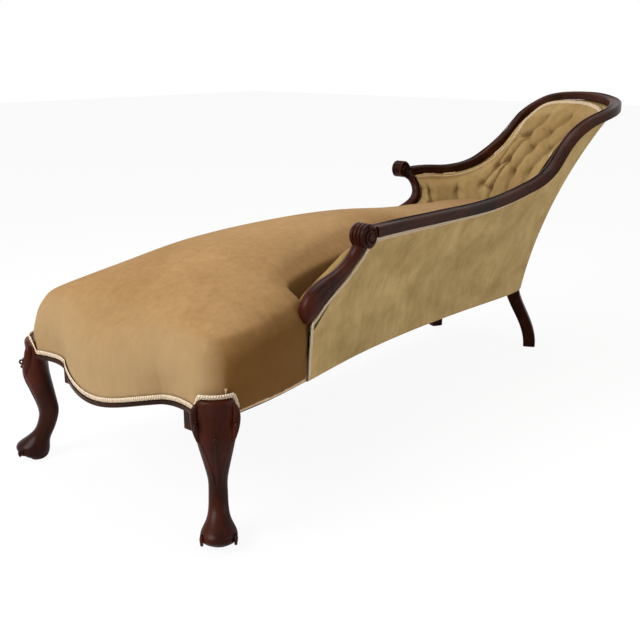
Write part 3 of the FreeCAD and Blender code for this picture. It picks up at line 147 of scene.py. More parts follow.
def circle_through(x1, y1, x2, y2, x3, y3):
    """Centre and radius of the circle through three flat points."""
    double = 2 * (x1 * (y2 - y3) + x2 * (y3 - y1) + x3 * (y1 - y2))
    s1, s2, s3 = x1 ** 2 + y1 ** 2, x2 ** 2 + y2 ** 2, x3 ** 2 + y3 ** 2
    cx = (s1 * (y2 - y3) + s2 * (y3 - y1) + s3 * (y1 - y2)) / double
    cy = (s1 * (x3 - x2) + s2 * (x1 - x3) + s3 * (x2 - x1)) / double
    return cx, cy, np.hypot(x1 - cx, y1 - cy)


def halving(holds, shape):
    """The last value from nothing to one where a test still holds, by halving the span between a
    value that holds and one that doesn't."""
    low, high = np.zeros(shape), np.ones(shape)
    for _ in range(30):
        middle = (low + high) / 2
        held = holds(middle)
        low, high = np.where(held, middle, low), np.where(held, high, middle)
    return low


def spline(points, count):
    """A cubic with continuous bend through the points, measured by its chords: between two
    points it is the mean of their places weighted by nearness, plus the bends' cubic terms."""
    p = np.asarray(points, float)
    t = travelled(p)
    h = np.diff(t)
    size = len(t)
    system = np.eye(size)
    right = np.zeros_like(p)
    inner = np.arange(1, size - 1)
    system[inner, inner] = 2 * (h[:-1] + h[1:])
    system[inner, inner - 1] = h[:-1]
    system[inner, inner + 1] = h[1:]
    steps = np.diff(p, axis=0) / h[:, None]
    right[1:-1] = 6 * (steps[1:] - steps[:-1])
    bend = np.linalg.solve(system, right)
    at = np.linspace(0, t[-1], count)
    k = np.clip(np.searchsorted(t, at, "right") - 1, 0, size - 2)
    a, b = ((t[k + 1] - at) / h[k])[:, None], ((at - t[k]) / h[k])[:, None]
    cubic = (a ** 3 - a) * bend[k] + (b ** 3 - b) * bend[k + 1]
    return a * p[k] + b * p[k + 1] + cubic * (h[k] ** 2)[:, None] / 6


def between(rows, place):
    """Smooth values between rows: a cubic whose slope at a row is the chord between its two
    neighbours, one array for each column after the first."""
    x, y = rows[:, 0], rows[:, 1:]
    last = len(x) - 1
    low, high = np.maximum(np.arange(last + 1) - 1, 0), np.minimum(np.arange(last + 1) + 1, last)
    slope = (y[high] - y[low]) / (x[high] - x[low])[:, None]
    place = np.clip(np.asarray(place, float), x[0], x[-1])
    k = np.clip(np.searchsorted(x, place, "right") - 1, 0, last - 1)
    span = x[k + 1] - x[k]
    t = (place - x[k]) / span
    t, span = t[..., None], span[..., None]
    value = ((2 * t ** 3 - 3 * t ** 2 + 1) * y[k] + (t ** 3 - 2 * t ** 2 + t) * slope[k] * span
             + (3 * t ** 2 - 2 * t ** 3) * y[k + 1] + (t ** 3 - t ** 2) * slope[k + 1] * span)
    return [value[..., c] for c in range(y.shape[1])]


def plan_samples():
    """The frame's plan as dense points, near front corner to far front corner, with the place of
    each from -1 to 1 by length."""
    half = [HEAD_HALF_WIDTH + share * (FOOT_HALF_WIDTH - HEAD_HALF_WIDTH) for _, share in SIDE_PLAN]
    near = [(along * FRAME_LENGTH, h) for (along, _), h in zip(SIDE_PLAN, half)]
    near += [(along * FRAME_LENGTH, share * HEAD_HALF_WIDTH) for along, share in HEAD_PLAN]
    points = [(x, -y) for x, y in near] + [(FRAME_LENGTH, 0.0)] + [(x, y) for x, y in reversed(near)]
    line = spline(points, 8001)
    length = travelled(line)
    return line, length, 2 * length / length[-1] - 1


PLAN_LINE, PLAN_LENGTHS, PLAN_PLACES = plan_samples()
PLAN_TANGENT = np.gradient(PLAN_LINE, PLAN_LENGTHS, axis=0)


def plan_at(place):
    """Plan point and outward direction at a place, both as x and y."""
    x, y = (np.interp(place, PLAN_PLACES, PLAN_LINE[:, c]) for c in (0, 1))
    tx, ty = (np.interp(place, PLAN_PLACES, PLAN_TANGENT[:, c]) for c in (0, 1))
    size = np.hypot(tx, ty)
    return x, y, ty / size, -tx / size


def place_at(x, side):
    """Place on one side of the plan that lies at x."""
    middle = len(PLAN_PLACES) // 2
    if side < 0:
        return np.interp(x, PLAN_LINE[:middle, 0], PLAN_PLACES[:middle])
    return np.interp(x, PLAN_LINE[middle:, 0][::-1], PLAN_PLACES[middle:][::-1])


def base_height(x):
    """Height of the frame's lower edge: a straight fall from the foot end to the head."""
    return FOOT_RAIL_HEIGHT + (HEAD_RAIL_HEIGHT - FOOT_RAIL_HEIGHT) * x / FRAME_LENGTH


def seat_height(x):
    """Height of the seat's edge at the tub wall: a straight rise from the foot end to the head."""
    return SEAT_EDGE_FOOT + (SEAT_EDGE_HEAD - SEAT_EDGE_FOOT) * x / FRAME_LENGTH


def rail_at(place):
    """How far the rail stands out from the plan, and its height: the arm's, moved towards the
    crest's by the course's shares."""
    lean, rise = between(RAIL_COURSE, place)
    return ARM_THROW + lean * (CREST_THROW - ARM_THROW), ARM_HEIGHT + rise * (CREST_HEIGHT - ARM_HEIGHT)


def rail_point(place):
    """Outer upper edge of the arm and crest rail: the plan, moved outward by the rail's throw."""
    x, y, ox, oy = plan_at(place)
    throw, height = rail_at(place)
    return np.stack([x + ox * throw, y + oy * throw, height], -1)


def unit(v):
    """Each vector over its own length."""
    return v / np.maximum(np.linalg.norm(v, axis=-1, keepdims=True), 1e-9)


def rail_axes(place):
    """Along the rail's course, level and outward across it, and up out of it."""
    step = 0.002
    along = unit(rail_point(place + step) - rail_point(place - step))
    outward = unit(np.stack([along[..., 1], -along[..., 0], np.zeros_like(along[..., 0])], -1))
    _, _, ox, oy = plan_at(place)
    outward = outward * np.sign(outward[..., 0] * ox + outward[..., 1] * oy)[..., None]
    up = np.cross(outward, along)
    return along, outward, up * np.sign(up[..., 2:3])


def flare(place, height):
    """How far the outside of the tub stands out from the plan: the arc through nothing at its
    base, the reach times a share at half height, and the reach under the rail."""
    throw, top = rail_at(place)
    base = base_height(plan_at(place)[0])
    reach = throw - RAIL_PROUD
    bend = reach * FLARE_MIDDLE
    cx, cy, radius = circle_through(0.0, base, bend, (base + top) / 2, reach, top)
    return cx + np.where(bend > cx, 1, -1) * np.sqrt(np.maximum(radius ** 2 - (height - cy) ** 2, 0.0))


def wall_point(place, inset, height):
    """Point of the tub wall, inset from its outside face along the plan's outward direction."""
    x, y, ox, oy = plan_at(place)
    out = flare(place, height) - inset
    return np.stack([x + ox * out, y + oy * out, height + 0 * x], -1)


def rail_under(spot, place):
    """Height of the rail's underside at a spot, sought along the course in a few steps."""
    step = 0.002
    for _ in range(7):
        along, _, up = rail_axes(place)
        edge = rail_point(place) - up * RAIL_FACE
        run = rail_point(place + step) - rail_point(place - step)
        pace = np.hypot(run[..., 0], run[..., 1]) / (2 * step)
        level = unit(along * np.array([1.0, 1.0, 0.0]))
        turn = np.sign((run * level).sum(-1))
        place = np.clip(place + 0.8 * ((spot - edge) * level).sum(-1) / pace * turn, -0.99, 0.99)
    return edge[..., 2]


def rail_seat(place, inset=0.0):
    """Height of the tub wall's top under the rail."""
    height = rail_at(place)[1] - RAIL_FACE
    for _ in range(2):
        height = rail_under(wall_point(place, inset, height), place)
    return height - RAIL_SEATING


def pad_base(place):
    """Height where the inside back begins, hidden a set depth under the seat's edge."""
    return seat_height(plan_at(place)[0]) - WALL_PAD_BASE


def support_line(side):
    """Middle line of an arm support as x, z and half thickness."""
    x, drop = SCROLL_CENTRE[side]
    top = rail_at(place_at(x, side))[1] - drop
    course = NEAR_SUPPORT if side < 0 else FAR_SUPPORT
    return np.stack([x - course[:, 0], top - course[:, 1], course[:, 2]], -1)


def support_edge(side, height, share, extra):
    """x of the line that runs beside a support's middle line at a share of its half thickness
    and an extra distance: behind it where they are positive, in front where negative."""
    line = support_line(side)
    ends = np.concatenate([line[:1], line, line[-1:]])
    along = unit((ends[2:] - ends[:-2])[:, :2])
    edge = line[:, :2] + np.stack([-along[:, 1], along[:, 0]], -1) * (line[:, 2] * share + extra)[:, None]
    edge = np.concatenate([edge, [[edge[-1, 0] + SUPPORT_FOOT_BACK, 0.0]]])[::-1]
    return np.interp(height, np.maximum.accumulate(edge[:, 1]), edge[:, 0])


def wall_start(side, inset, height, share=0.97, extra=0.3):
    """Place where the wall begins beside a support, found by halving."""
    target = support_edge(side, height, share, extra)
    return side * halving(lambda place: wall_point(side * place, inset, height)[..., 0] > target,
                          np.shape(height))


# Meshes

def mesh_piece(name, points, faces, material, uv=None):
    """A mesh from an array of points and one of faces, riding on the body."""
    mesh = bpy.data.meshes.new(name)
    mesh.from_pydata(points.tolist(), [], faces if isinstance(faces, list) else faces.tolist())
    mesh.polygons.foreach_set("use_smooth", np.ones(len(mesh.polygons), bool))
    if uv is not None:
        layer = mesh.uv_layers.new(name="UVMap")
        corner = np.empty(len(mesh.loops), np.int32)
        mesh.loops.foreach_get("vertex_index", corner)
        layer.data.foreach_set("uv", uv[corner].astype(np.float32).ravel())
    mesh.update()
    piece = bpy.data.objects.new(name, mesh)
    bpy.context.scene.collection.objects.link(piece)
    piece.data.materials.append(material)
    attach(piece, "root")
    return piece


def grid_faces(rows, columns, wrap=False, start=0):
    """Quads of a grid with that many rows and columns, closed across its columns with wrap."""
    r = np.arange(rows - 1)[:, None]
    c = np.arange(columns if wrap else columns - 1)[None, :]
    following = (c + 1) % columns
    low, high = r * columns, (r + 1) * columns
    quads = np.stack([low + c, low + following, high + following, high + c], -1)
    return quads.reshape(-1, 4) + start


def ring_piece(name, rings, material, uv=None):
    """Closed form through rings of points, one array of (rings, points, 3), with capped ends."""
    count, around = rings.shape[:2]
    faces = grid_faces(count, around, wrap=True).tolist()
    faces += [list(range(around))[::-1], list(range((count - 1) * around, count * around))]
    return mesh_piece(name, metres(rings.reshape(-1, 3)), faces, material, uv=uv)


def facing_out(piece):
    """Turns the faces of a closed piece outwards by the sign of the volume that they enclose."""
    mesh = piece.data
    mesh.calc_loop_triangles()
    tri = np.empty(len(mesh.loop_triangles) * 3, np.int32)
    mesh.loop_triangles.foreach_get("vertices", tri)
    co = np.empty(len(mesh.vertices) * 3)
    mesh.vertices.foreach_get("co", co)
    p = co.reshape(-1, 3)[tri.reshape(-1, 3)]
    if np.einsum("ij,ij->i", p[:, 0], np.cross(p[:, 1], p[:, 2])).sum() < 0:
        mesh.flip_normals()
    return piece


def frames_along(path, upright):
    """Along, across and up at each point of a path, with up kept near the given direction."""
    along = unit(np.gradient(path, axis=0))
    across = unit(np.cross(along, upright))
    return along, across, np.cross(across, along)


def strand(path, wide, high, upright, around=10):
    """Rings round a path: at turn t the ring stands off by wide times cosine and high times sine,
    both given for each point, so that the strand tapers."""
    path = np.asarray(path, float)
    _, across, up = frames_along(path, np.broadcast_to(upright, path.shape))
    turn = np.linspace(0, 2 * np.pi, around, endpoint=False)
    wide, high = np.broadcast_to(wide, len(path)), np.broadcast_to(high, len(path))
    return (path[:, None] + across[:, None] * (wide[:, None] * np.cos(turn))[..., None]
            + up[:, None] * (high[:, None] * np.sin(turn))[..., None])


def several(name, forms, material):
    """One piece made of several closed strands."""
    points, faces, start = [], [], 0
    for rings in forms:
        count, around = rings.shape[:2]
        quads = grid_faces(count, around, wrap=True, start=start)
        ends = [list(range(start, start + around))[::-1],
                list(range(start + (count - 1) * around, start + count * around))]
        body = rings.reshape(-1, 3)
        a, b, c = body[quads[:, 0] - start], body[quads[:, 1] - start], body[quads[:, 2] - start]
        middle = rings.mean(1).repeat(around, 0)[:len(a)]
        outward = np.einsum("ij,ij->i", np.cross(b - a, c - a), a - middle).sum() > 0
        quads = quads.tolist() + ends
        faces += quads if outward else [q[::-1] for q in quads]
        points.append(body)
        start += count * around
    return mesh_piece(name, metres(np.concatenate(points)), faces, material)


# Materials

class Finish:
    """A node material that is built up step by step."""

    SETTINGS = ("operation", "bands_direction")

    def __init__(self, name):
        self.material = bpy.data.materials.new(name)
        self.material.use_nodes = True
        self.tree = self.material.node_tree
        self.shader = self.tree.nodes["Principled BSDF"]
        self.coordinates = self.tree.nodes.new("ShaderNodeTexCoord")

    def node(self, kind, **inputs):
        """A new node with its settings and inputs, where i2 stands for input number 2."""
        made = self.tree.nodes.new(kind)
        for key in self.SETTINGS:
            if key in inputs:
                setattr(made, key, inputs.pop(key))
        for key, value in inputs.items():
            socket = made.inputs[int(key[1:])] if key[1:].isdigit() else made.inputs[key]
            if isinstance(value, bpy.types.NodeSocket):
                self.tree.links.new(value, socket)
            else:
                socket.default_value = value
        return made

    def noise(self, scale, detail, **inputs):
        """Noise in the object's own coordinates, stretched by a scale for each axis."""
        vector = self.stretched(scale)
        made = self.node("ShaderNodeTexNoise", Vector=vector, Scale=1.0, Detail=detail, **inputs)
        return made.outputs["Fac"]

    def spread(self, value, from_low, from_high, to_low, to_high):
        """A value between two limits mapped to one between two others."""
        made = self.node("ShaderNodeMapRange", Value=value)
        for number, limit in enumerate((from_low, from_high, to_low, to_high), 1):
            made.inputs[number].default_value = limit
        return made.outputs["Result"]

    def shine(self, **values):
        """Sets inputs of the shader by their names, with underscores for spaces."""
        for name, value in values.items():
            self.shader.inputs[name.replace("_", " ")].default_value = value

    def link(self, output, name):
        """An output into an input of the shader."""
        self.tree.links.new(output, self.shader.inputs[name])

    def stretched(self, scale):
        """The object's own coordinates, scaled by axis."""
        mapping = self.tree.nodes.new("ShaderNodeMapping")
        mapping.inputs["Scale"].default_value = scale
        self.tree.links.new(self.coordinates.outputs["Object"], mapping.inputs["Vector"])
        return mapping.outputs["Vector"]

    def ramp(self, factor, stops):
        """Colour by a factor, from stops that each have a place and a colour."""
        ramp = self.tree.nodes.new("ShaderNodeValToRGB")
        self.tree.links.new(factor, ramp.inputs["Fac"])
        points = ramp.color_ramp.elements
        while len(points) < len(stops):
            points.new(0.5)
        for point, (at, colour) in zip(points, stops):
            point.position = at
            point.color = (*colour, 1.0)
        return ramp.outputs["Color"]

    def bump(self, height, strength, distance, under=None):
        """Normal from a height, laid over another normal where one is given."""
        made = self.node("ShaderNodeBump", Strength=strength, Distance=distance, Height=height)
        if under is not None:
            self.tree.links.new(under, made.inputs["Normal"])
        return made.outputs["Normal"]

    def mix(self, factor, a, b, kind="MIX"):
        """Two colours mixed, or multiplied, by a factor."""
        made = self.tree.nodes.new("ShaderNodeMix")
        made.data_type = "RGBA"
        made.blend_type = kind
        for socket, value in ((made.inputs[0], factor), (made.inputs[6], a), (made.inputs[7], b)):
            if isinstance(value, bpy.types.NodeSocket):
                self.tree.links.new(value, socket)
            else:
                socket.default_value = value if isinstance(value, float) else (*value, 1.0)
        return made.outputs[2]


def velvet(name, dark, light, crush, painted_shade=0.0, painted_light=0.0):
    """Short-piled velvet: broad cloudy shading where the nap lies differently, fine streaks, the
    weave of its backing as a bump, and a sheen. Where its shade share is more than nothing, cloth
    that faces the near side gets painted shade, that much deeper in colour; by its light share,
    cloth that faces the foot gets painted light and is paler."""
    f = Finish(name)
    cloud = f.noise(crush, 5.0, Roughness=0.6, Distortion=0.4)
    streak = f.noise((60.0, 60.0, 14.0), 4.0, Roughness=0.65)
    base = f.ramp(cloud, ((0.30, dark), (0.72, light)))
    fine = f.ramp(streak, ((0.30, (0.72, 0.70, 0.68)), (0.70, (1.0, 1.0, 1.0))))
    colour = f.mix(0.65, base, fine, "MULTIPLY")
    if painted_shade:
        # Painted shade and painted light, set by the way the cloth faces and not by the lamps.
        geometry = f.tree.nodes.new("ShaderNodeNewGeometry")
        facing = f.node("ShaderNodeSeparateXYZ", Vector=geometry.outputs["Normal"])
        # Painted shade: cloth that faces the near side (-Y) is mixed towards deep brown.
        painted_shade_mask = f.spread(facing.outputs["Y"], -0.35, -0.95, 0.0, painted_shade)
        colour = f.mix(painted_shade_mask, colour, (0.110, 0.042, 0.004))
        # Painted light: cloth that faces the foot (-X) is mixed towards pale tan.
        along = f.spread(facing.outputs["X"], -0.40, -0.95, 0.0, painted_light)
        colour = f.mix(along, colour, (0.330, 0.240, 0.128))
    f.link(colour, "Base Color")
    weave = f.noise((900.0, 900.0, 900.0), 2.0)
    slub = f.noise((26.0, 26.0, 26.0), 3.0)
    normal = f.bump(weave, 0.35, 0.0006)
    f.link(f.bump(slub, 0.10, 0.002, normal), "Normal")
    f.shine(Roughness=0.86, Sheen_Weight=0.12, Sheen_Roughness=0.4, Sheen_Tint=(0.95, 0.78, 0.50, 1.0),
            Specular_IOR_Level=0.08)
    return f.material


def polished_wood(name, dark, light, stretch):
    """Old polished wood: grain as stretched noise, darker pores, worn lighter patches, and a
    coat of polish over it."""
    f = Finish(name)
    grain = f.noise(stretch, 8.0, Roughness=0.62, Distortion=0.8)
    wear = f.noise((7.0, 7.0, 7.0), 3.0)
    middle = tuple((a + b) / 2 for a, b in zip(dark, light))
    base = f.ramp(grain, ((0.32, dark), (0.55, middle), (0.75, light)))
    worn = f.ramp(wear, ((0.35, (0.55, 0.50, 0.50)), (0.70, (1.15, 1.05, 1.0))))
    f.link(f.mix(0.8, base, worn, "MULTIPLY"), "Base Color")
    f.link(f.bump(grain, 0.12, 0.0008), "Normal")
    f.link(f.spread(wear, 0.0, 1.0, 0.26, 0.46), "Roughness")
    f.shine(Specular_IOR_Level=0.07, Coat_Weight=0.035, Coat_Roughness=0.12)
    return f.material


def plain_wood(name):
    """Unpolished beech, with fine grain."""
    f = Finish(name)
    grain = f.noise((12.0, 90.0, 90.0), 6.0)
    f.link(f.ramp(grain, ((0.30, (0.42, 0.27, 0.14)), (0.75, (0.66, 0.48, 0.30)))), "Base Color")
    f.link(f.bump(grain, 0.15, 0.0006), "Normal")
    f.shine(Roughness=0.7)
    return f.material


def woven(name, dark, light, pitch):
    """Plain weave: two crossing waves make its threads, with noise in their colour."""
    f = Finish(name)
    scale = 1.0 / pitch
    warp, weft = (
        f.node("ShaderNodeTexWave", Vector=f.stretched(stretch), Scale=1.0, Distortion=1.0, bands_direction=way)
        for stretch, way in (((scale, 0.0, scale), "X"), ((0.0, scale, scale), "Y")))
    both = f.node("ShaderNodeMath", operation="MULTIPLY", i0=warp.outputs["Fac"], i1=weft.outputs["Fac"])
    f.link(f.ramp(f.noise((40.0, 40.0, 40.0), 4.0), ((0.3, dark), (0.7, light))), "Base Color")
    f.link(f.bump(both.outputs["Value"], 0.4, 0.0008), "Normal")
    f.shine(Roughness=0.9)
    return f.material


def braided(name, pale, gold, deep):
    """Woven braid on the piece's own map: u counts its repeats and v goes across it. A zigzag of
    gold cord runs over pale ground, with a dark line where the two cross."""
    f = Finish(name)
    split = f.node("ShaderNodeSeparateXYZ", Vector=f.coordinates.outputs["UV"])
    wave = f.node("ShaderNodeMath", operation="PINGPONG", i0=split.outputs["X"], i1=0.5)
    lift = f.node("ShaderNodeMath", operation="MULTIPLY_ADD", i0=wave.outputs["Value"], i1=1.3, i2=0.17)
    gap = f.node("ShaderNodeMath", operation="SUBTRACT", i0=split.outputs["Y"], i1=lift.outputs["Value"])
    off = f.node("ShaderNodeMath", operation="ABSOLUTE", i0=gap.outputs["Value"])
    cord = f.ramp(off.outputs["Value"], ((0.04, gold), (0.13, deep), (0.22, pale)))
    noise = f.noise((420.0, 420.0, 420.0), 3.0)
    shade = f.ramp(noise, ((0.3, (0.70, 0.66, 0.62)), (0.7, (1.0, 1.0, 1.0))))
    f.link(f.mix(0.8, cord, shade, "MULTIPLY"), "Base Color")
    height = f.node("ShaderNodeMath", operation="MULTIPLY", i0=off.outputs["Value"], i1=-3.0)
    normal = f.bump(height.outputs["Value"], 0.8, 0.0012)
    f.link(f.bump(noise, 0.5, 0.0006, normal), "Normal")
    f.shine(Roughness=0.8)
    return f.material


def steel(name, dark, light):
    """Dull metal with fine scratches."""
    f = Finish(name)
    noise = f.noise((200.0, 30.0, 200.0), 5.0)
    f.link(f.ramp(noise, ((0.3, dark), (0.7, light))), "Base Color")
    f.link(f.bump(noise, 0.1, 0.0004), "Normal")
    f.shine(Metallic=0.9, Roughness=0.42)
    return f.material


# The seat's velvet has painted shade (0.80) on its near-facing sides and painted light (0.5) on its foot-facing
# end.
SEAT_VELVET = velvet("seat_velvet", (0.245, 0.132, 0.046), (0.370, 0.222, 0.096), (2.4, 2.4, 2.4), 0.80, 0.5)
OUTSIDE_VELVET = velvet("outside_velvet", (0.340, 0.228, 0.086), (0.560, 0.400, 0.180), (7.0, 7.0, 9.0))
INSIDE_VELVET = velvet("inside_velvet", (0.225, 0.138, 0.046), (0.345, 0.235, 0.100), (6.0, 6.0, 6.0))
CARVED_WOOD = polished_wood("carved_wood", (0.009, 0.002, 0.001), (0.075, 0.014, 0.004), (10.0, 10.0, 3.0))
RAIL_WOOD = polished_wood("rail_wood", (0.010, 0.003, 0.001), (0.070, 0.018, 0.006), (3.0, 9.0, 9.0))
BEECH = plain_wood("beech")
BRAID = braided("braid", (0.86, 0.73, 0.56), (0.66, 0.47, 0.26), (0.22, 0.11, 0.06))
BLACK_CLOTH = woven("black_cloth", (0.012, 0.012, 0.012), (0.03, 0.03, 0.03), 0.0012)
JUTE = woven("jute", (0.30, 0.20, 0.10), (0.52, 0.40, 0.25), 0.0016)
STRAPPING = woven("strapping", (0.42, 0.36, 0.28), (0.62, 0.56, 0.46), 0.0014)
STEEL = steel("blued_steel", (0.10, 0.10, 0.11), (0.30, 0.30, 0.32))
COPPERED = steel("coppered_steel", (0.20, 0.12, 0.08), (0.38, 0.26, 0.18))


# Seat

def arc_through(first, middle, last, count):
    """Points of the circle's arc through three flat points, by equal steps of its angle."""
    cx, cy, radius = circle_through(*first, *middle, *last)
    start, via, end = (math.atan2(y - cy, x - cx) for x, y in (first, middle, last))
    turn, reach = (via - start) % (2 * math.pi), (end - start) % (2 * math.pi)
    if turn > reach:
        reach -= 2 * math.pi
    angle = start + np.linspace(0, 1, count) * reach
    return np.stack([cx + radius * np.cos(angle), cy + radius * np.sin(angle)], -1)


def front_line():
    """Plan of the foot end from far to near: an arc to each shoulder and a bow between them."""
    end = FOOT_HALF_WIDTH - FRONT_CORNER_ROUND
    middle = (FRONT_SHOULDER * 1.8, (end + FRONT_SHOULDER_HALF) / 2)
    shoulder = (FRONT_SHOULDER, FRONT_SHOULDER_HALF)
    far = arc_through((0.0, end), middle, shoulder, 120)
    bow = arc_through(shoulder, (FRONT_SHOULDER - FRONT_RAIL_BOW, 0.0),
                      (FRONT_SHOULDER, -FRONT_SHOULDER_HALF), 400)
    return np.concatenate([far[:-1], bow, (far * np.array([1.0, -1.0]))[::-1][1:]])


def front_drop(y):
    """Lower edge of the foot-end rail: a cosine wave, lowest in the middle."""
    share = np.minimum(np.abs(y) / (FRONT_SHOULDER_HALF + 40.0), 1.0)
    return FOOT_RAIL_HEIGHT - FRONT_RAIL_DROP * (0.5 + 0.5 * np.cos(share * np.pi))


# By x: how far the middle line of the seat's dome rises over its edge, and the edge's height.
SEAT_TOP = np.array((
    (-20.0, -4.0), (10.0, 14.0), (60.0, 42.0), (150.0, 62.0), (350.0, 88.0), (600.0, 92.0), (850.0, 79.0),
    (1100.0, 49.0), (1400.0, 18.0), (1600.0, 10.0)))
SEAT_EDGE = np.array((
    (-60.0, 413.0), (40.0, 414.0), (120.0, 421.0), (220.0, 430.0), (380.0, 445.0), (700.0, 455.0),
    (1200.0, 463.0), (1640.0, 474.0)))

# Length round the seat, the width over which its plan is softened, and the x over which the
# softening ends.
SEAT_ROUND, SEAT_SOFT = 4300.0, 62.0
SOFT_FROM, SOFT_RUN = 150.0, 150.0
# Behind these x the seat steps in under the pad, on the near and on the far side.
STEP_NEAR, STEP_FAR = 317.0, 1368.0
STEP_IN, STEP_RUN = 46.0, 8.0
# Its edge: the radius of the rounding and what the foot end has more, the swell of its sides over
# the rails, the angle where the dome takes over, and the dome's power.
EDGE_ROUND, FOOT_ROUND = 44.0, 20.0
SEAT_SWELL = 5.0
ROUND_END = np.radians(60)
DOME_POWER = 2.2
LOW_RINGS, SIDE_RINGS, ROUND_RINGS, TOP_RINGS = 3, 12, 9, 33

CORNER_MIDDLE = (FRONT_CORNER_ROUND * 0.29, FRONT_CORNER_ROUND * 0.25 - FOOT_HALF_WIDTH)
CORNER_POINTS = 60


def seat_plan(count):
    """Outline of the seat, from the middle of the foot end round the near side, the head and the
    far side: its bowed front, rounded corners and the frame's plan, evenly spaced. Gives also the
    outward direction and the place along the plan, which is -1 and 1 at the foot end."""
    front = front_line()
    near = front[front[:, 1] <= 0]
    corner = arc_through(tuple(near[-1]), CORNER_MIDDLE, tuple(PLAN_LINE[0]), CORNER_POINTS)
    far_corner = (corner * np.array([1.0, -1.0]))[::-1]
    far = (near * np.array([1.0, -1.0]))[::-1]
    line = np.concatenate([near, corner[1:], PLAN_LINE[1:], far_corner[1:], far[1:-1]])
    front_count = len(near) + CORNER_POINTS - 1
    place = np.concatenate([np.full(front_count, -1.0), PLAN_PLACES[1:], np.full(front_count - 2, 1.0)])
    length = travelled(line)
    at = np.linspace(0, length[-1], count, endpoint=False)
    x, y, place = (np.interp(at, length, values) for values in (line[:, 0], line[:, 1], place))
    tangent = np.stack([np.roll(x, -2) - np.roll(x, 2), np.roll(y, -2) - np.roll(y, 2)], -1)
    for _ in range(3):
        tangent = (np.roll(tangent, 1, axis=0) + tangent * 2 + np.roll(tangent, -1, axis=0)) / 4
    tangent = unit(tangent)
    return np.stack([x, y], -1), np.stack([tangent[:, 1], -tangent[:, 0]], -1), place


def softened(line, width):
    """The same closed row of values, each the mean of its neighbours by a bell of that width."""
    step = SEAT_ROUND / len(line)
    reach = int(3 * width / step)
    bell = np.exp(-0.5 * (np.arange(-reach, reach + 1) * step / width) ** 2)
    wrapped = np.concatenate([line[-reach:], line, line[:reach]])
    return np.stack([np.convolve(wrapped[:, c], bell / bell.sum(), "valid") for c in (0, 1)], -1)


def seat_rings(around):
    """The seat as closed rings from under the frame, up its swelling sides, round the edge and
    over the dome to its middle line. Its plan follows the rails' curves below and is softened
    above. Behind the arms' fronts a ring steps in, into the inside back. Rise over the dome: the
    middle's rise times one less the 2.2nd power of the share of the half width."""
    outline, outward, place = seat_plan(around)
    start = np.where(outline[:, 1] < 0, STEP_NEAR, STEP_FAR)
    line = outline - outward * (np.clip((outline[:, 0] - start) / STEP_RUN, 0, 1) * STEP_IN)[:, None]
    firm = np.clip((outline[:, :1] - SOFT_FROM) / SOFT_RUN, 0, 1)
    plain = softened(outline, SEAT_SOFT)
    plain += (outline - plain) * firm
    facing = unit(softened(outward, SEAT_SOFT))
    facing += (outward - facing) * firm
    round_off = EDGE_ROUND + FOOT_ROUND * np.clip(1 - (line[:, 0] - 20.0) / 150.0, 0, 1)
    front = np.clip((FOOT_HALF_WIDTH - 40 - np.abs(line[:, 1])) / 30.0, 0, 1)
    lip = np.where(np.abs(place) >= 1.0, 1.0, 0.0) * front
    drop = front_drop(np.clip(np.abs(line[:, 1]), 0, 400))
    rings = []

    def add(inset, height, share=0.0, soft=0.0):
        """Adds a ring. soft is how far the plan is softened, share draws the ring from its inset to
        the middle line, and the dome's rise goes beside its height."""
        step = np.clip((outline[:, 0] - start) / (STEP_RUN + 420.0 * share), 0, 1) * STEP_IN
        away = unit(outward + (facing - outward) * soft)
        spot = outline + (plain - outline) * soft - away * (step + inset)[:, None]
        centre_x = np.clip(spot[:, 0], 150.0, FRAME_LENGTH - 190.0)
        x, y = spot[:, 0] + (centre_x - spot[:, 0]) * share, spot[:, 1] * (1 - share)
        wide = np.abs(plan_at(place_at(np.clip(x, 0.0, 1560.0), -1))[1])
        dome = between(SEAT_TOP, x)[0] * (1 - np.clip(np.abs(y) / wide, 0, 1) ** DOME_POWER)
        rings.append(np.stack([x, y, height(x), dome], -1))

    def edge(x):
        """Height of the seat's edge."""
        return between(SEAT_EDGE, x)[0]

    def bottom(x, rise):
        """The seat's lower edge: the frame's, and over the foot-end rail its wave and moulding."""
        base = base_height(x) + rise
        return base + lip * (drop + 9.0 + rise - base)

    for inset, rise in ((16.0, 2.0), (5.0, -1.0), (0.6, 0.6)):
        add(inset, lambda x: bottom(x, rise))
    for share in np.linspace(0.08, 0.98, SIDE_RINGS):
        swell = SEAT_SWELL * np.clip((share - 0.08) / 0.62, 0, 1) ** 1.4
        soft = 0.75 * np.clip((share - 0.15) / 0.83, 0, 1) ** 1.3
        add(-swell, lambda x: bottom(x, 0.6) + (edge(x) - round_off * 0.9 - bottom(x, 0.6)) * share, 0.0, soft)
    for turn in np.linspace(0.1, 1, ROUND_RINGS) * ROUND_END:
        inset = round_off * (1 - np.cos(turn)) - SEAT_SWELL
        add(inset, lambda x: edge(x) - round_off * (1 - np.sin(turn)), 0.0, 0.75 + 0.25 * turn / ROUND_END)
    sink = -round_off * (1 - np.sin(ROUND_END))
    for share in np.linspace(0, 1, TOP_RINGS + 1)[1:]:
        share = share ** 1.15
        add(inset, lambda x: edge(x) + sink * (1 - share) ** 2.4, share, 1.0)
    rings = np.stack(rings)
    raised = np.clip((np.arange(len(rings)) + 1 - LOW_RINGS - SIDE_RINGS) / ROUND_RINGS, 0, 1)[:, None]
    return np.stack([rings[..., 0], rings[..., 1], rings[..., 2] + rings[..., 3] * raised], -1)


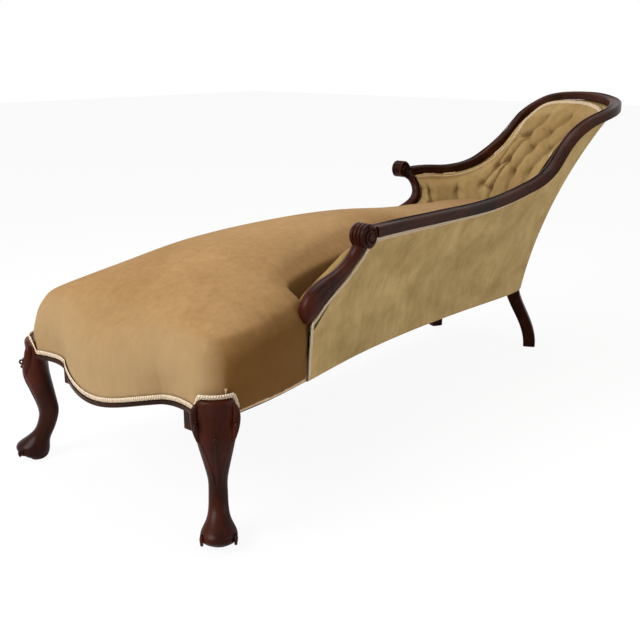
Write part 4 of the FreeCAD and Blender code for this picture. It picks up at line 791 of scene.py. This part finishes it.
def padded_form(piece, voxel, cap, pressure):
    """Remeshes a closed form to even quads and swells it as cloth under pressure, in which no
    point may move further than the cap."""
    bpy.context.view_layer.objects.active = piece
    piece.select_set(True)
    remesh = piece.modifiers.new("even", "REMESH")
    remesh.mode = "VOXEL"
    remesh.voxel_size = voxel
    bpy.ops.object.modifier_apply(modifier=remesh.name)
    relax = piece.modifiers.new("relax", "SMOOTH")
    relax.factor, relax.iterations = 0.5, 6
    bpy.ops.object.modifier_apply(modifier=relax.name)
    rest = coordinates(piece)
    cloth = piece.modifiers.new("swell", "CLOTH")
    cloth.settings.use_pressure = True
    cloth.settings.uniform_pressure_force = pressure
    cloth.settings.effector_weights.gravity = 0.0
    cloth.settings.quality = 4
    for number in range(1, 21):
        bpy.context.scene.frame_set(number)
    bpy.ops.object.modifier_apply(modifier=cloth.name)
    moved = coordinates(piece) - rest
    size = np.linalg.norm(moved, axis=1, keepdims=True)
    moved *= np.minimum(1.0, cap / np.maximum(size, 1e-9))
    piece.data.vertices.foreach_set("co", (rest + moved).astype(np.float32).ravel())
    bpy.context.scene.frame_set(1)
    piece.data.polygons.foreach_set("use_smooth", np.ones(len(piece.data.polygons), bool))
    return piece


def coordinates(piece):
    """Places of a mesh's points, a row for each."""
    co = np.empty(len(piece.data.vertices) * 3)
    piece.data.vertices.foreach_get("co", co)
    return co.reshape(-1, 3)


seat_form = seat_rings(900)
around = seat_form.shape[1]
faces = grid_faces(len(seat_form), around, wrap=True).tolist() + [list(range(around))[::-1]]
seat = facing_out(mesh_piece("seat", metres(seat_form.reshape(-1, 3)), faces, SEAT_VELVET))
padded_form(seat, 0.006, 0.003, 2.5)
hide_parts("seat_cover", "seat_stuffing", "seat_hessian")


# Inside back, deep buttoned

def pad_levels(place):
    """Lower and upper height of the inside back and how tall it is, from low arm to high back."""
    low = pad_base(place)
    high = rail_seat(place, RAIL_WIDTH - RAIL_PROUD)
    tall = np.clip((high - GIMP_WIDTH - low - LOW_PAD) / (TALL_PAD - LOW_PAD), 0.0, 1.0)
    return low, high, tall


def row_heights(place):
    """Height of each row of buttons at a place: its share of the way from the pad's lower edge
    to its upper one, which changes between tall and low parts of the wall."""
    low, high, tall = pad_levels(place)
    high = high - GIMP_WIDTH
    shares = TALL_ROWS * tall[..., None] + LOW_ROWS * (1 - tall[..., None])
    return low[..., None] + shares * (high - low)[..., None]


def button_spots():
    """Place and height of every button, with its row and its count along the wall."""
    spots = []
    for row in range(1, len(TALL_ROWS) - 1):
        counts = np.arange(-19, 5) + 0.5 * (row % 2)
        place = between(TUFT_COURSE, counts)[0]
        low, high, _ = pad_levels(place)
        keep = (place > BUTTON_FROM) & (place < BUTTON_TO)
        if row != 2:
            keep &= high - GIMP_WIDTH - low > (LOW_PAD + TALL_PAD) / 2
        height = row_heights(place)[:, row]
        spots.append(np.stack([place, height, np.full(len(place), row), counts], -1)[keep])
    return np.concatenate(spots)


def run_length(place):
    """Distance along the inner face of the wall, in millimetres, at a place."""
    samples = np.linspace(-0.95, 0.35, 2001)
    low = pad_base(samples)
    face = wall_point(samples, WALL_THICK * 0.6, low + 0.55 * (rail_seat(samples) - low))
    return np.interp(place, samples, travelled(face))


def creases():
    """Folds as pairs of ends, on the unrolled wall: from each button to its neighbours on the
    slant, up from the highest buttons to the rail and down from the lowest to the seat."""
    spots = button_spots()
    flat = np.stack([run_length(spots[:, 0]), spots[:, 1]], -1)
    row, count = spots[:, 2][:, None], spots[:, 3][:, None]
    near = (np.abs(row - row.T) == 1) & (np.abs(count - count.T) < 0.75) & (row < row.T)
    first, second = np.nonzero(near)
    slanted = np.stack([flat[first], flat[second]], 1)
    low, high, _ = pad_levels(spots[:, 0])
    up = np.stack([flat, np.stack([flat[:, 0], high + 10], -1)], 1)[~near.any(1)]
    down = np.stack([flat, np.stack([flat[:, 0], low - 40], -1)], 1)[~near.any(0)]
    return np.concatenate([slanted, up, down]), flat


def tufted(place, height):
    """Puff and pit of the cover, each from nothing to one: from every fold it puffs up as a quarter
    circle until it is a bay away, and at each button it has a pit in the shape of a bell."""
    ends, flat = creases()
    spot = np.stack([run_length(place), height], -1)
    near_fold = np.full(place.shape, np.inf)
    for start, end in ends:
        run = end - start
        t = np.clip(((spot - start) @ run) / (run @ run), 0, 1)
        near_fold = np.minimum(near_fold, np.linalg.norm(spot - start - t[..., None] * run, axis=-1))
    near_button = np.full(place.shape, np.inf)
    for button in flat:
        near_button = np.minimum(near_button, np.linalg.norm(spot - button, axis=-1))
    t = np.clip(near_fold / TUFT_BAY, 0, 1)
    return np.sqrt(np.maximum(1 - (1 - t) ** 2, 0.0)), np.exp(-(near_button / PIT_WIDTH) ** 2)


def strength(tall):
    """Share of their full depth that puffs and pits have: less where the back is low."""
    return 0.62 + 0.38 * tall


def pad_body(low, high, share):
    """Thickness of the back without its puffs: it eases as a cube from the fullest to the narrow
    edge, which it reaches where the braid under the rail begins."""
    full, narrow = WALL_THICK - 9.0, RAIL_WIDTH - RAIL_PROUD - 0.6
    return full + (narrow - full) * np.clip(share * (high - low) / (high - low - GIMP_WIDTH), 0, 1) ** 3


def pad_rings(start, end, columns, rows):
    """Closed rings of the inside back. Up its face the thickness eases from the wall's fullest to
    the narrow edge under the rail, plus the puff between folds, less the buttons' pits; the ring
    closes along the back of the stuffing."""
    share = np.linspace(0, 1, rows)
    place = np.broadcast_to(np.linspace(start, end, columns)[:, None], (columns, rows)).copy()
    ratio = np.linspace(0, 1, columns)[:, None]
    for _ in range(3):
        low, high, _ = pad_levels(place)
        height = low + share * (high - low)
        first = wall_start(-1, WALL_THICK * 0.8, height, 0.97, -PAD_LAP)
        last = wall_start(1, WALL_THICK * 0.8, height, 0.97, -PAD_LAP)
        place = first + (last - first) * ratio
    low, high, tall = pad_levels(place)
    height = low + share * (high - low)
    puff, pit = tufted(place, height)
    edge = eased(((1 - share) * (high - low) - GIMP_WIDTH - 3.0) / 26.0)
    run = run_length(place)
    end = np.minimum(run - run[:1], run[-1:] - run)
    turned = 1 - np.sqrt(np.maximum(1 - (1 - np.clip(end / 17.0, 0, 1)) ** 2, 0.0))
    depth = pad_body(low, high, share) + edge * strength(tall) * (PUFF * puff - PIT_DEPTH * pit)
    depth = depth - turned * (depth - (SUPPORT_WIDTH - RAIL_PROUD + 2.0))
    face = wall_point(place, depth, height)
    backing = SUPPORT_WIDTH - RAIL_PROUD + 1.5
    down = np.linspace(rows - 1, 0, 16).astype(int)
    back = wall_point(place[:, down], backing, height[:, down] - 1.0)
    return np.concatenate([face, back], axis=1)


def pad_face_at(place, height):
    """Inner face of the back at single spots, for its buttons, and its direction there."""
    low, high, tall = pad_levels(place)
    depth = pad_body(low, high, (height - low) / (high - low)) - strength(tall) * PIT_DEPTH * 0.95
    spot = wall_point(place, depth, height)
    rise = wall_point(place, depth, height + 1) - wall_point(place, depth, height - 1)
    along = wall_point(place + 0.001, depth, height) - wall_point(place - 0.001, depth, height)
    facing = unit(np.cross(along, rise))
    _, _, ox, oy = plan_at(place)
    return spot, facing * -np.sign(facing[:, 0] * ox + facing[:, 1] * oy)[:, None]


columns, rows = ((760, 90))
rings = pad_rings(NEAR_FRONT, FAR_FRONT, columns, rows)
inside_back = facing_out(ring_piece("inside_back", rings, INSIDE_VELVET))
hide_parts("inside_back_near", "inside_back_head", "inside_back_far",
            "inside_stuffing_near", "inside_stuffing_head", "inside_stuffing_far", "inside_hessian")

spots = button_spots()
centre, facing = pad_face_at(spots[:, 0], spots[:, 1])
side = unit(np.cross(facing, np.array([0.0, 0.0, 1.0])))
lift = np.cross(side, facing)
ring_at, turn = np.linspace(0, 1, 7), np.linspace(0, 2 * np.pi, 20, endpoint=False)
radius = BUTTON_RADIUS * np.sin(ring_at * np.pi / 2)
dome = BUTTON_RISE * np.cos(ring_at * np.pi / 2) - BUTTON_SUNK
buttons = (centre[:, None, None] + facing[:, None, None] * dome[None, :, None, None]
           + side[:, None, None] * (radius[:, None] * np.cos(turn))[None, ..., None]
           + lift[:, None, None] * (radius[:, None] * np.sin(turn))[None, ..., None])
rows, around = len(ring_at), len(turn)
faces = np.concatenate([grid_faces(rows, around, True, start=k * rows * around) for k in range(len(spots))])
back_buttons = mesh_piece("covered_buttons", metres(buttons.reshape(-1, 3)), faces, INSIDE_VELVET)
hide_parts("back_buttons")


# Outside back

def sheet_area(points):
    """Area of a grid of points in square metres, by the cross product of each cell's sides."""
    along, across = points[1:, :-1] - points[:-1, :-1], points[:-1, 1:] - points[:-1, :-1]
    return np.linalg.norm(np.cross(along, across), axis=-1).sum() / 1e6


def outside_rings(columns, rows):
    """Outside cover as a thin closed sheet: its outer face follows the tub wall from the seat
    frame's underside to the rail, turns in under the frame, and comes back a thread's thickness
    further in."""
    share = np.linspace(0, 1, rows)
    ratio = np.linspace(0, 1, columns)[:, None]
    place = NEAR_FRONT + (FAR_FRONT - NEAR_FRONT) * ratio + 0 * share
    for _ in range(4):
        low = base_height(plan_at(place)[0])
        high = rail_seat(place, 0.0)
        height = low + share * (high - low)
        first, last = wall_start(-1, 0.0 * height, height), wall_start(1, 0.0 * height, height)
        place = first + (last - first) * ratio
    low = base_height(plan_at(place)[0])
    height = low + share * (high - low)
    slack = 0.4 * np.sin(share * np.pi) * np.sin(ratio * 61.0) ** 2
    outer = wall_point(place, -0.2 - slack, height)
    inner = wall_point(place, 1.6 - slack, height)
    hem_place = place[:, :1] + np.zeros((1, 4))
    hem_inset = np.array([12.0, 8.0, 4.0, 1.0])
    hem = wall_point(hem_place, hem_inset, low[:, :1] - np.array([1.4, 1.6, 1.5, 0.9]))
    hem_in = wall_point(hem_place[:, :1], np.array([12.0]), low[:, :1] + 0.2)
    return np.concatenate([hem, outer, inner[:, ::-1], hem_in], axis=1), sheet_area(outer)


rings, area = outside_rings(420, 40)
outside_back = facing_out(ring_piece("outside_back", rings, OUTSIDE_VELVET))
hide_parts("outside_back_near", "outside_back_head", "outside_back_far", "outside_lining")


# Braid

def braid_rings(path, normal, width, thick, pitch=GIMP_PITCH):
    """Braid along a path: across it a low rounded section; its edges swing in and out once in
    each repeat. Also gives its map, repeats along and a share across."""
    along = unit(np.gradient(path, axis=0))
    across = unit(np.cross(normal, along))
    length = travelled(path)
    beat = 2 * np.pi * length / pitch
    half = width / 2 * (0.93 + 0.07 * np.cos(2 * beat))
    v = np.array([-1.0, -0.8, -0.35, 0.0, 0.35, 0.8, 1.0])
    rise = np.array([0.25, 0.85, 0.75, 1.0, 0.75, 0.85, 0.25])
    shift = 0.25 * np.sin(beat)[:, None] * (1 - np.abs(v))
    top = (path[:, None] + across[:, None] * (half[:, None] * v)[..., None]
           + normal[:, None] * (thick * (rise + 0.4 * shift))[..., None])
    under = path[:, None] + across[:, None] * (half[:, None] * v[::-1][None, [0, 3, 6]])[..., None]
    rings = np.concatenate([top, under], axis=1)
    u = np.broadcast_to((length / pitch)[:, None], rings.shape[:2])
    across_share = np.broadcast_to(np.concatenate([(v + 1) / 2, [1.0, 0.5, 0.0]]), rings.shape[:2])
    return rings, np.stack([u, across_share], -1).reshape(-1, 2)


def carried(path, values, count):
    """Values that go with a path's points, at that many points evenly spaced along it."""
    length = travelled(path)
    return np.interp(np.linspace(0, length[-1], count), length, values)


def even(path, step):
    """The same path with points a step apart."""
    count = max(int(travelled(path)[-1] / step), 8)
    return np.stack([carried(path, path[:, c], count) for c in range(3)], -1)


def braid(name, path, normal, width=GIMP_WIDTH, thick=GIMP_THICK):
    """A run of braid as a piece of its own."""
    rings, uv = braid_rings(path, normal, width, thick)
    return facing_out(ring_piece(name, rings, BRAID, uv=uv))


def wall_normal(place, height):
    """Outward direction of the wall's outside face, by the cross product of its two runs."""
    along = wall_point(place + 0.001, 0.0, height) - wall_point(place - 0.001, 0.0, height)
    rise = wall_point(place, 0.0, height + 1.0) - wall_point(place, 0.0, height - 1.0)
    normal = unit(np.cross(along, rise))
    _, _, ox, oy = plan_at(place)
    return normal * np.sign(normal[..., 0] * ox + normal[..., 1] * oy)[..., None]


def slant(place):
    """How much longer the rail is than its plan: a step along it over that step's level part."""
    run = rail_point(place + 0.004) - rail_point(place - 0.004)
    return np.linalg.norm(run, axis=-1) / np.hypot(run[..., 0], run[..., 1])


def edge_start(side, drop):
    """Place of a support's rear face at the height of the wall's top less a drop."""
    place = np.array([NEAR_FRONT if side < 0 else FAR_FRONT])
    for _ in range(4):
        place = wall_start(side, 0.0 * place, rail_seat(place, 0.0) - drop)
    return float(place[0])


def outside_gimp():
    """Braid on the outside back, close under the rail."""
    place = np.linspace(edge_start(-1, 6.0), edge_start(1, 6.0), 3000)
    height = rail_seat(place, 0.0) - (GIMP_WIDTH / 2 + 1.6) * slant(place)
    full = wall_point(place, -0.4, height)
    path = even(full, BRAID_STEP)
    return path, wall_normal(carried(full, place, len(path)), path[:, 2])


path, normal = outside_gimp()
gimp = braid("outside_gimp_braid", path, normal, width=12.5, thick=3.0)
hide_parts("outside_gimp")


def inside_gimp():
    """Braid on the narrow edge of the inside back, close under the rail's inner side."""
    place = np.linspace(edge_start(-1, 6.0) + 0.004, edge_start(1, 6.0) - 0.004, 3000)
    inset = RAIL_WIDTH - RAIL_PROUD + 0.2
    height = rail_seat(place, inset) - (GIMP_WIDTH / 2 + 2.6) * slant(place)
    full = wall_point(place, inset, height)
    path = even(full, BRAID_STEP)
    return path, -wall_normal(carried(full, place, len(path)), path[:, 2])


path, normal = inside_gimp()
gimp = braid("inside_gimp_braid", path, normal, width=12.5, thick=3.4)
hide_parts("inside_gimp")


def panel_edge(side):
    """Braid down the front edge of the outside back, behind the support."""
    low = float(base_height(plan_at(NEAR_FRONT if side < 0 else FAR_FRONT)[0])) + 4
    top = float(support_line(side)[0, 1]) - 22.0
    height = np.linspace(low, top, 500)
    place = wall_start(side, 0.0 * height, height, extra=5.4)
    path = even(wall_point(place, -0.4, height), BRAID_STEP)
    return path, wall_normal(np.interp(path[:, 2], height, place), path[:, 2])


for side, name in ((-1, "near"), (1, "far")):
    path, normal = panel_edge(side)
    braid(name + "_support_braid", path, normal, width=9.5, thick=2.0)


# Foot end

line = front_line()
height = front_drop(line[:, 1]) + FRONT_MOULDING + GIMP_WIDTH / 2
path = even(np.stack([line[:, 0] - 0.6, line[:, 1], height], -1), BRAID_STEP)
along = unit(np.gradient(path, axis=0) * np.array([1.0, 1.0, 0.0]))
gimp = braid("foot_end_braid", path, np.stack([along[:, 1], -along[:, 0], 0 * along[:, 0]], -1))
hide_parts("foot_end_gimp")


def ear_path(side):
    """Braid from the side over the top of a front leg and down to the braid of the foot end: the
    plan's corner, raised and lowered again by smooth steps of its first and last fifths."""
    corner = arc_through((0.0, FRONT_CORNER_ROUND - FOOT_HALF_WIDTH), CORNER_MIDDLE,
                         (FRONT_CORNER_ROUND + 8.0, 3.0 - FOOT_HALF_WIDTH), 400)
    t = np.linspace(0, 1, 400)
    raised = np.minimum(eased(t / 0.2), eased((1 - t) / 0.2))
    first = front_drop(FOOT_HALF_WIDTH - FRONT_CORNER_ROUND) + FRONT_MOULDING + GIMP_WIDTH / 2
    height = first + (LEG_TOP + GIMP_WIDTH / 2 + 1.5 - first) * raised
    run = unit(np.gradient(corner, axis=0))
    out = np.stack([run[:, 1], -run[:, 0]], -1)
    out *= np.sign(out @ np.array([-1.0, -1.0]))[:, None]
    spot = corner + out * (3.0 * raised + 0.4)[:, None]
    full = np.stack([spot[:, 0], spot[:, 1] * -side, height], -1)
    path = even(full, BRAID_STEP)
    x, y = (carried(full, out[:, c], len(path)) for c in (0, 1))
    return path, unit(np.stack([x, y * -side, 0 * x], -1))


for side, name in ((-1, "near"), (1, "far")):
    path, normal = ear_path(side)
    braid(name + "_ear_braid", path, normal, width=10.0)


# Underside

def bottom_sheet(columns, rows):
    """Black cloth under the frame: across, from side to side of the plan; along, from foot to
    head; it sags between its nails as a flat bowl."""
    ratio = np.linspace(0.03, 0.985, columns)[:, None]
    x = ratio * FRAME_LENGTH
    share = np.linspace(-1, 1, rows)[None, :]
    half = np.abs(plan_at(place_at(x, -1))[1]) - 14.0
    y = share * half
    sag = 5.0 * (1 - share ** 2) * np.sin(np.pi * np.clip((ratio - 0.03) / 0.955, 0, 1)) ** 0.6
    top = base_height(x) - 6.0 - sag
    upper = np.stack([x + 0 * y, y, top + 0 * y], -1)
    lower = upper - np.array([0.0, 0.0, 0.9])
    return np.concatenate([upper, lower[:, ::-1]], axis=1), sheet_area(upper)


rings, area = bottom_sheet(160, 50)
bottom = facing_out(ring_piece("bottom_cloth", rings, BLACK_CLOTH))
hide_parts("bottoming_cloth")


# Carving

def spiral(centre, across, up, start, end, turns, phase, lift, normal, count=70):
    """Spiral line in a plane: its radius shrinks from start to end as the angle grows."""
    t = np.linspace(0, 1, count)
    angle = phase + turns * 2 * np.pi * t
    radius = start + (end - start) * t ** 0.9
    return (np.asarray(centre) + np.outer(radius * np.cos(angle), across)
            + np.outer(radius * np.sin(angle), up) + np.outer(lift * t, normal))


def face_y(side, x, height):
    """y of a support's outer face: where the wall's outside stands there, and a little proud."""
    x, height = np.broadcast_arrays(np.asarray(x, float), np.asarray(height, float))
    place = side * halving(lambda place: wall_point(side * place, 0.0, height)[..., 0] > x, x.shape)
    return np.abs(wall_point(place, 0.0, height)[..., 1]) + RAIL_PROUD


def support_carving(side):
    """Volute on each face of the scroll, a leaf of four lobes rolled over it, three flutes over
    the bulb, and a raised bead down the middle of the support's front."""
    line = support_line(side)
    centre_x, drop = SCROLL_CENTRE[side]
    centre_z = float(rail_at(place_at(centre_x, side))[1]) - drop
    face = float(face_y(side, centre_x, centre_z))
    forms = []
    for y, out in ((side * (face + 0.6), side), (side * (face - SUPPORT_WIDTH - 0.4), -side)):
        path = spiral((centre_x, y, centre_z), (-1, 0, 0), (0, 0, 1), SCROLL_RADIUS - 3.0, 8.0, 1.6,
                      0.4 * np.pi, 3.0, (0, out, 0))
        size = np.linspace(3.6, 2.2, len(path))
        forms.append(strand(path, size, size, (0, out, 0)))
    for share in (-0.78, -0.26, 0.26, 0.78):
        angle = np.radians(np.linspace(40.0, -118.0 - 22.0 * abs(share), 60))
        reach = SCROLL_RADIUS + 1.4 * np.sin(np.pi * np.linspace(0, 1, 60))
        y = side * (face - SUPPORT_WIDTH / 2 * (1 - share))
        path = np.stack([centre_x + reach * np.sin(angle), y + 0 * angle, centre_z + reach * np.cos(angle)], -1)
        taper = np.sin(np.pi * np.linspace(0.05, 0.93, 60)) ** 0.55
        upright = np.stack([np.sin(angle), 0 * angle, np.cos(angle)], -1)
        forms.append(strand(path, 5.0 * taper, 3.4 * taper, upright))
    along = np.gradient(line[:, :2], axis=0)
    front = unit(np.stack([along[:, 1], -along[:, 0]], -1))
    front *= np.where(front[:, :1] > 0, -1, 1)
    dense = spline(np.concatenate([line, front], 1), 160)
    middle = side * (face_y(side, dense[:, 0], dense[:, 1]) - SUPPORT_WIDTH / 2)
    for offset, first, last, size in ((0.0, 8, 150, 3.2), (-0.52, 78, 150, 2.8), (0.52, 78, 150, 2.8)):
        part = slice(first, last)
        reach = SUPPORT_WIDTH / 2 * np.minimum(1.0, 0.5 + 0.5 * dense[part, 2] / 25.0)
        rise = dense[part, 2] * (1.0 - 0.67 * offset ** 2) - 0.6
        path = np.stack([dense[part, 0] + dense[part, 3] * rise, middle[part] + side * offset * reach,
                         dense[part, 1] + dense[part, 4] * rise], -1)
        taper = np.sin(np.pi * np.linspace(0.06, 0.94, len(path))) ** 0.6 * size
        upright = np.stack([dense[part, 3], 0 * rise, dense[part, 4]], -1)
        forms.append(strand(path, taper, taper * 0.75, upright))
    return forms


def rail_beads(start, end, inset, size):
    """Bead along the rail's top: it follows the course, that far in from the outer edge."""
    place = np.linspace(start, end, 900)
    _, outward, up = rail_axes(place)
    path = even(rail_point(place) - outward * inset - up * 0.5, 3.0)
    share = np.linspace(0, 1, len(path))
    taper = np.minimum(1.0, 30 * np.minimum(share, 1 - share) + 0.05) * size
    return strand(path, taper, taper, (0, 0, 1), 8)


# A front leg: height, reach outward and inward from its corner of the frame, and half its width.
FRONT_LEG = np.array((
    (0.0, 6.0, 28.0, 22.0), (12.0, 25.0, 39.0, 34.0), (32.0, 38.0, 42.0, 37.0),
    (48.0, 20.0, 45.0, 28.0), (72.0, -8.0, 56.0, 21.0), (98.0, -20.0, 66.0, 20.0),
    (122.0, -24.0, 71.0, 20.0), (150.0, -18.0, 68.0, 24.0), (185.0, -6.0, 62.0, 31.0),
    (215.0, 5.0, 57.0, 37.0), (240.0, 4.0, 55.0, 42.0), (264.0, -4.0, 55.0, 45.0),
    (286.0, -7.0, 58.0, 43.0), (308.0, -8.0, 60.0, 34.0)))


def leg_carving(side):
    """Carving of a front leg: a bead down the knee with a knob at its top, an edge bead and a
    rounded ear on each flank, volutes on the two sides of the toe and a small scroll on each ear."""
    outward = unit(np.array([-1.0, side, 0.0]))
    across = unit(np.array([side, 1.0, 0.0]))
    foot = np.array([0.0, side * FOOT_HALF_WIDTH, 0.0])

    def skin(height, angle_share, proud):
        """Point of the leg's surface: outward and across reach, by the share across."""
        out, back, half = (between(FRONT_LEG, height)[c] for c in (0, 1, 2))
        middle, reach = (out - back) / 2, (out + back) / 2
        forward = 1 - 0.50 * angle_share ** 2
        point = (foot + outward * (middle + (reach + proud) * forward)[:, None]
                 + across * (half * angle_share * 0.98)[:, None])
        point[:, 2] = height
        return point

    forms = []
    height = np.linspace(112, 232, 60)
    taper = np.sin(np.pi * np.linspace(0.04, 0.96, 60)) ** 0.5
    forms.append(strand(skin(height, np.zeros(60), -0.4), 3.6 * taper, 3.2 * taper, outward))
    for flank in (-1, 1):
        sweep = flank * (0.34 + 0.46 * ((height - 112) / 120) ** 1.4)
        forms.append(strand(skin(height, sweep, -1.2), 2.6 * taper, 2.6 * taper, outward))
    knob = np.linspace(-1, 1, 9)
    place = skin(np.full(9, 236.0) + knob * 5.0, np.zeros(9), 0.0)
    size = 6.5 * np.sqrt(np.maximum(1 - (knob * 0.98) ** 2, 0.01))
    forms.append(strand(place, size, size * 0.9, outward, 14))
    for flank in (-1, 1):
        fall = np.linspace(0, 1, 40)
        ear = skin(300.0 - 74.0 * fall, flank * (1.0 - 0.12 * fall), -4.0)
        size = np.sqrt(np.sin(np.pi * (0.06 + 0.90 * fall ** 0.75)))
        forms.append(strand(ear, 9.5 * size, 8.0 * size, across * flank, 16))
        centre = foot + outward * 15.0 + across * (flank * 34.0) + np.array([0, 0, 25.0])
        path = spiral(centre, outward, (0, 0, 1), 11.0, 2.5, 1.4, -0.3 * np.pi, 2.5, across * flank)
        size = np.linspace(3.4, 2.4, len(path))
        forms.append(strand(path, size, size, across * flank))
        centre = foot + outward * -4.0 + across * (flank * 38.5) + np.array([0, 0, 262.0])
        path = spiral(centre, outward, (0, 0, 1), 8.0, 2.0, 1.4, 0.6 * np.pi, 2.5, across * flank)
        size = np.linspace(2.8, 1.8, len(path))
        forms.append(strand(path, size, size, across * flank))
    return forms


for side, name in ((-1, "near"), (1, "far")):
    several(name + "_support_carving", support_carving(side), CARVED_WOOD)
    several(name + "_leg_carving", leg_carving(side), CARVED_WOOD)
several("rail_beads", [rail_beads(-0.712, 0.136, 8.0, 1.5), rail_beads(-0.712, 0.136, RAIL_WIDTH - 8.0, 1.5)],
        RAIL_WOOD)


# Finishes of the frame's own solids

RAIL_NODES = ("long_arm_rail", "crest_rail", "short_arm_rail", "foot_end_rail")
STEELS = ("corner_block_screws", "bottom_tacks")
for name, node in nodes.items():
    if name in RAIL_NODES:
        finish = RAIL_WOOD
    elif name.endswith(("arm_support", "front_leg", "rear_leg")):
        finish = CARVED_WOOD
    elif name in STEELS:
        finish = STEEL
    elif name == "seat_springs":
        finish = COPPERED
    elif "webbing" in name or name == "spring_twine":
        finish = STRAPPING
    elif "hessian" in name:
        finish = JUTE
    else:
        finish = BEECH
    node.data.materials.clear()
    node.data.materials.append(finish)


# Room, light and camera

def studio():
    """Pale floor, a white surround for the camera and for reflections, and three soft lamps."""
    floor_mesh = bpy.data.meshes.new("floor")
    floor_mesh.from_pydata([(-14, -14, 0), (14, -14, 0), (14, 14, 0), (-14, 14, 0)], [], [(0, 1, 2, 3)])
    floor = bpy.data.objects.new("floor", floor_mesh)
    bpy.context.scene.collection.objects.link(floor)
    f = Finish("pale_floor")
    cloud = f.noise((1.5, 1.5, 1.5), 2.0)
    f.link(f.ramp(cloud, ((0.2, (0.88, 0.88, 0.88)), (0.8, (0.92, 0.92, 0.92)))), "Base Color")
    f.shine(Roughness=0.9, Specular_IOR_Level=0.1)
    glow = f.node("ShaderNodeEmission", Strength=1.0)
    seen = f.tree.nodes.new("ShaderNodeLightPath")
    part = f.node("ShaderNodeMath", operation="MULTIPLY", i0=seen.outputs["Is Camera Ray"], i1=0.92)
    blend = f.node("ShaderNodeMixShader", Fac=part.outputs["Value"])
    f.tree.links.new(f.shader.outputs["BSDF"], blend.inputs[1])
    f.tree.links.new(glow.outputs["Emission"], blend.inputs[2])
    f.tree.links.new(blend.outputs["Shader"], f.tree.nodes["Material Output"].inputs["Surface"])
    floor_mesh.materials.append(f.material)
    world = bpy.data.worlds.new("surround")
    bpy.context.scene.world = world
    world.use_nodes = True
    tree = world.node_tree
    background, output = tree.nodes["Background"], tree.nodes["World Output"]
    background.inputs["Color"].default_value = (1.0, 0.985, 0.96, 1.0)
    background.inputs["Strength"].default_value = 0.42
    shown = tree.nodes.new("ShaderNodeBackground")
    shown.inputs["Color"].default_value = (1.0, 1.0, 1.0, 1.0)
    shown.inputs["Strength"].default_value = 1.0
    path = tree.nodes.new("ShaderNodeLightPath")
    rays, more = tree.nodes.new("ShaderNodeMath"), tree.nodes.new("ShaderNodeMath")
    rays.operation = more.operation = "MAXIMUM"
    tree.links.new(path.outputs["Is Camera Ray"], rays.inputs[0])
    tree.links.new(path.outputs["Is Glossy Ray"], more.inputs[0])
    tree.links.new(path.outputs["Is Transmission Ray"], more.inputs[1])
    tree.links.new(more.outputs["Value"], rays.inputs[1])
    mix = tree.nodes.new("ShaderNodeMixShader")
    tree.links.new(rays.outputs["Value"], mix.inputs["Fac"])
    tree.links.new(background.outputs["Background"], mix.inputs[1])
    tree.links.new(shown.outputs["Background"], mix.inputs[2])
    tree.links.new(mix.outputs["Shader"], output.inputs["Surface"])
    for name, place, aim, size, power in (
            ("window", (-3.0, 0.4, 2.2), (-0.3, 0.0, 0.4), 2.0, 95.0),
            ("overhead", (0.2, 0.8, 3.0), (0.2, 0.0, 0.4), 2.4, 52.0),
            ("fill", (0.9, -3.2, 1.3), (0.2, 0.0, 0.4), 2.4, 22.0)):
        lamp = bpy.data.lights.new(name, "AREA")
        lamp.shape, lamp.size, lamp.energy = "DISK", size, power
        lamp_object = bpy.data.objects.new(name, lamp)
        bpy.context.scene.collection.objects.link(lamp_object)
        lamp_object.matrix_world = looking(place, aim)


def looking(place, aim):
    """Matrix of an object at a place whose back is turned away from its aim, with up kept up."""
    back = unit(np.asarray(place, float) - np.asarray(aim, float))
    right = unit(np.cross(np.array([0.0, 0.0, 1.0]), back))
    up = np.cross(back, right)
    turned = Matrix((right, up, back)).transposed().to_4x4()
    turned.translation = place
    return turned


CAMERA_AT = np.array([-1127.0, -1548.0, 971.0])
CAMERA_PITCH, CAMERA_YAW, CAMERA_LENS = 0.290, 0.700, 51.27


def photo_camera():
    """Camera of the photograph, from its place, its yaw from +X and its downward pitch."""
    camera = bpy.data.objects.new("camera", bpy.data.cameras.new("camera"))
    bpy.context.scene.collection.objects.link(camera)
    camera.data.sensor_width, camera.data.lens = 36.0, CAMERA_LENS
    camera.data.clip_start, camera.data.clip_end = 0.05, 60.0
    flat, down = math.cos(CAMERA_PITCH), math.sin(CAMERA_PITCH)
    forward = np.array([math.cos(CAMERA_YAW) * flat, math.sin(CAMERA_YAW) * flat, -down])
    place = metres(CAMERA_AT)
    camera.matrix_world = looking(place, place + forward)
    bpy.context.scene.camera = camera


studio()
photo_camera()
bpy.context.scene.view_settings.view_transform = "Standard"
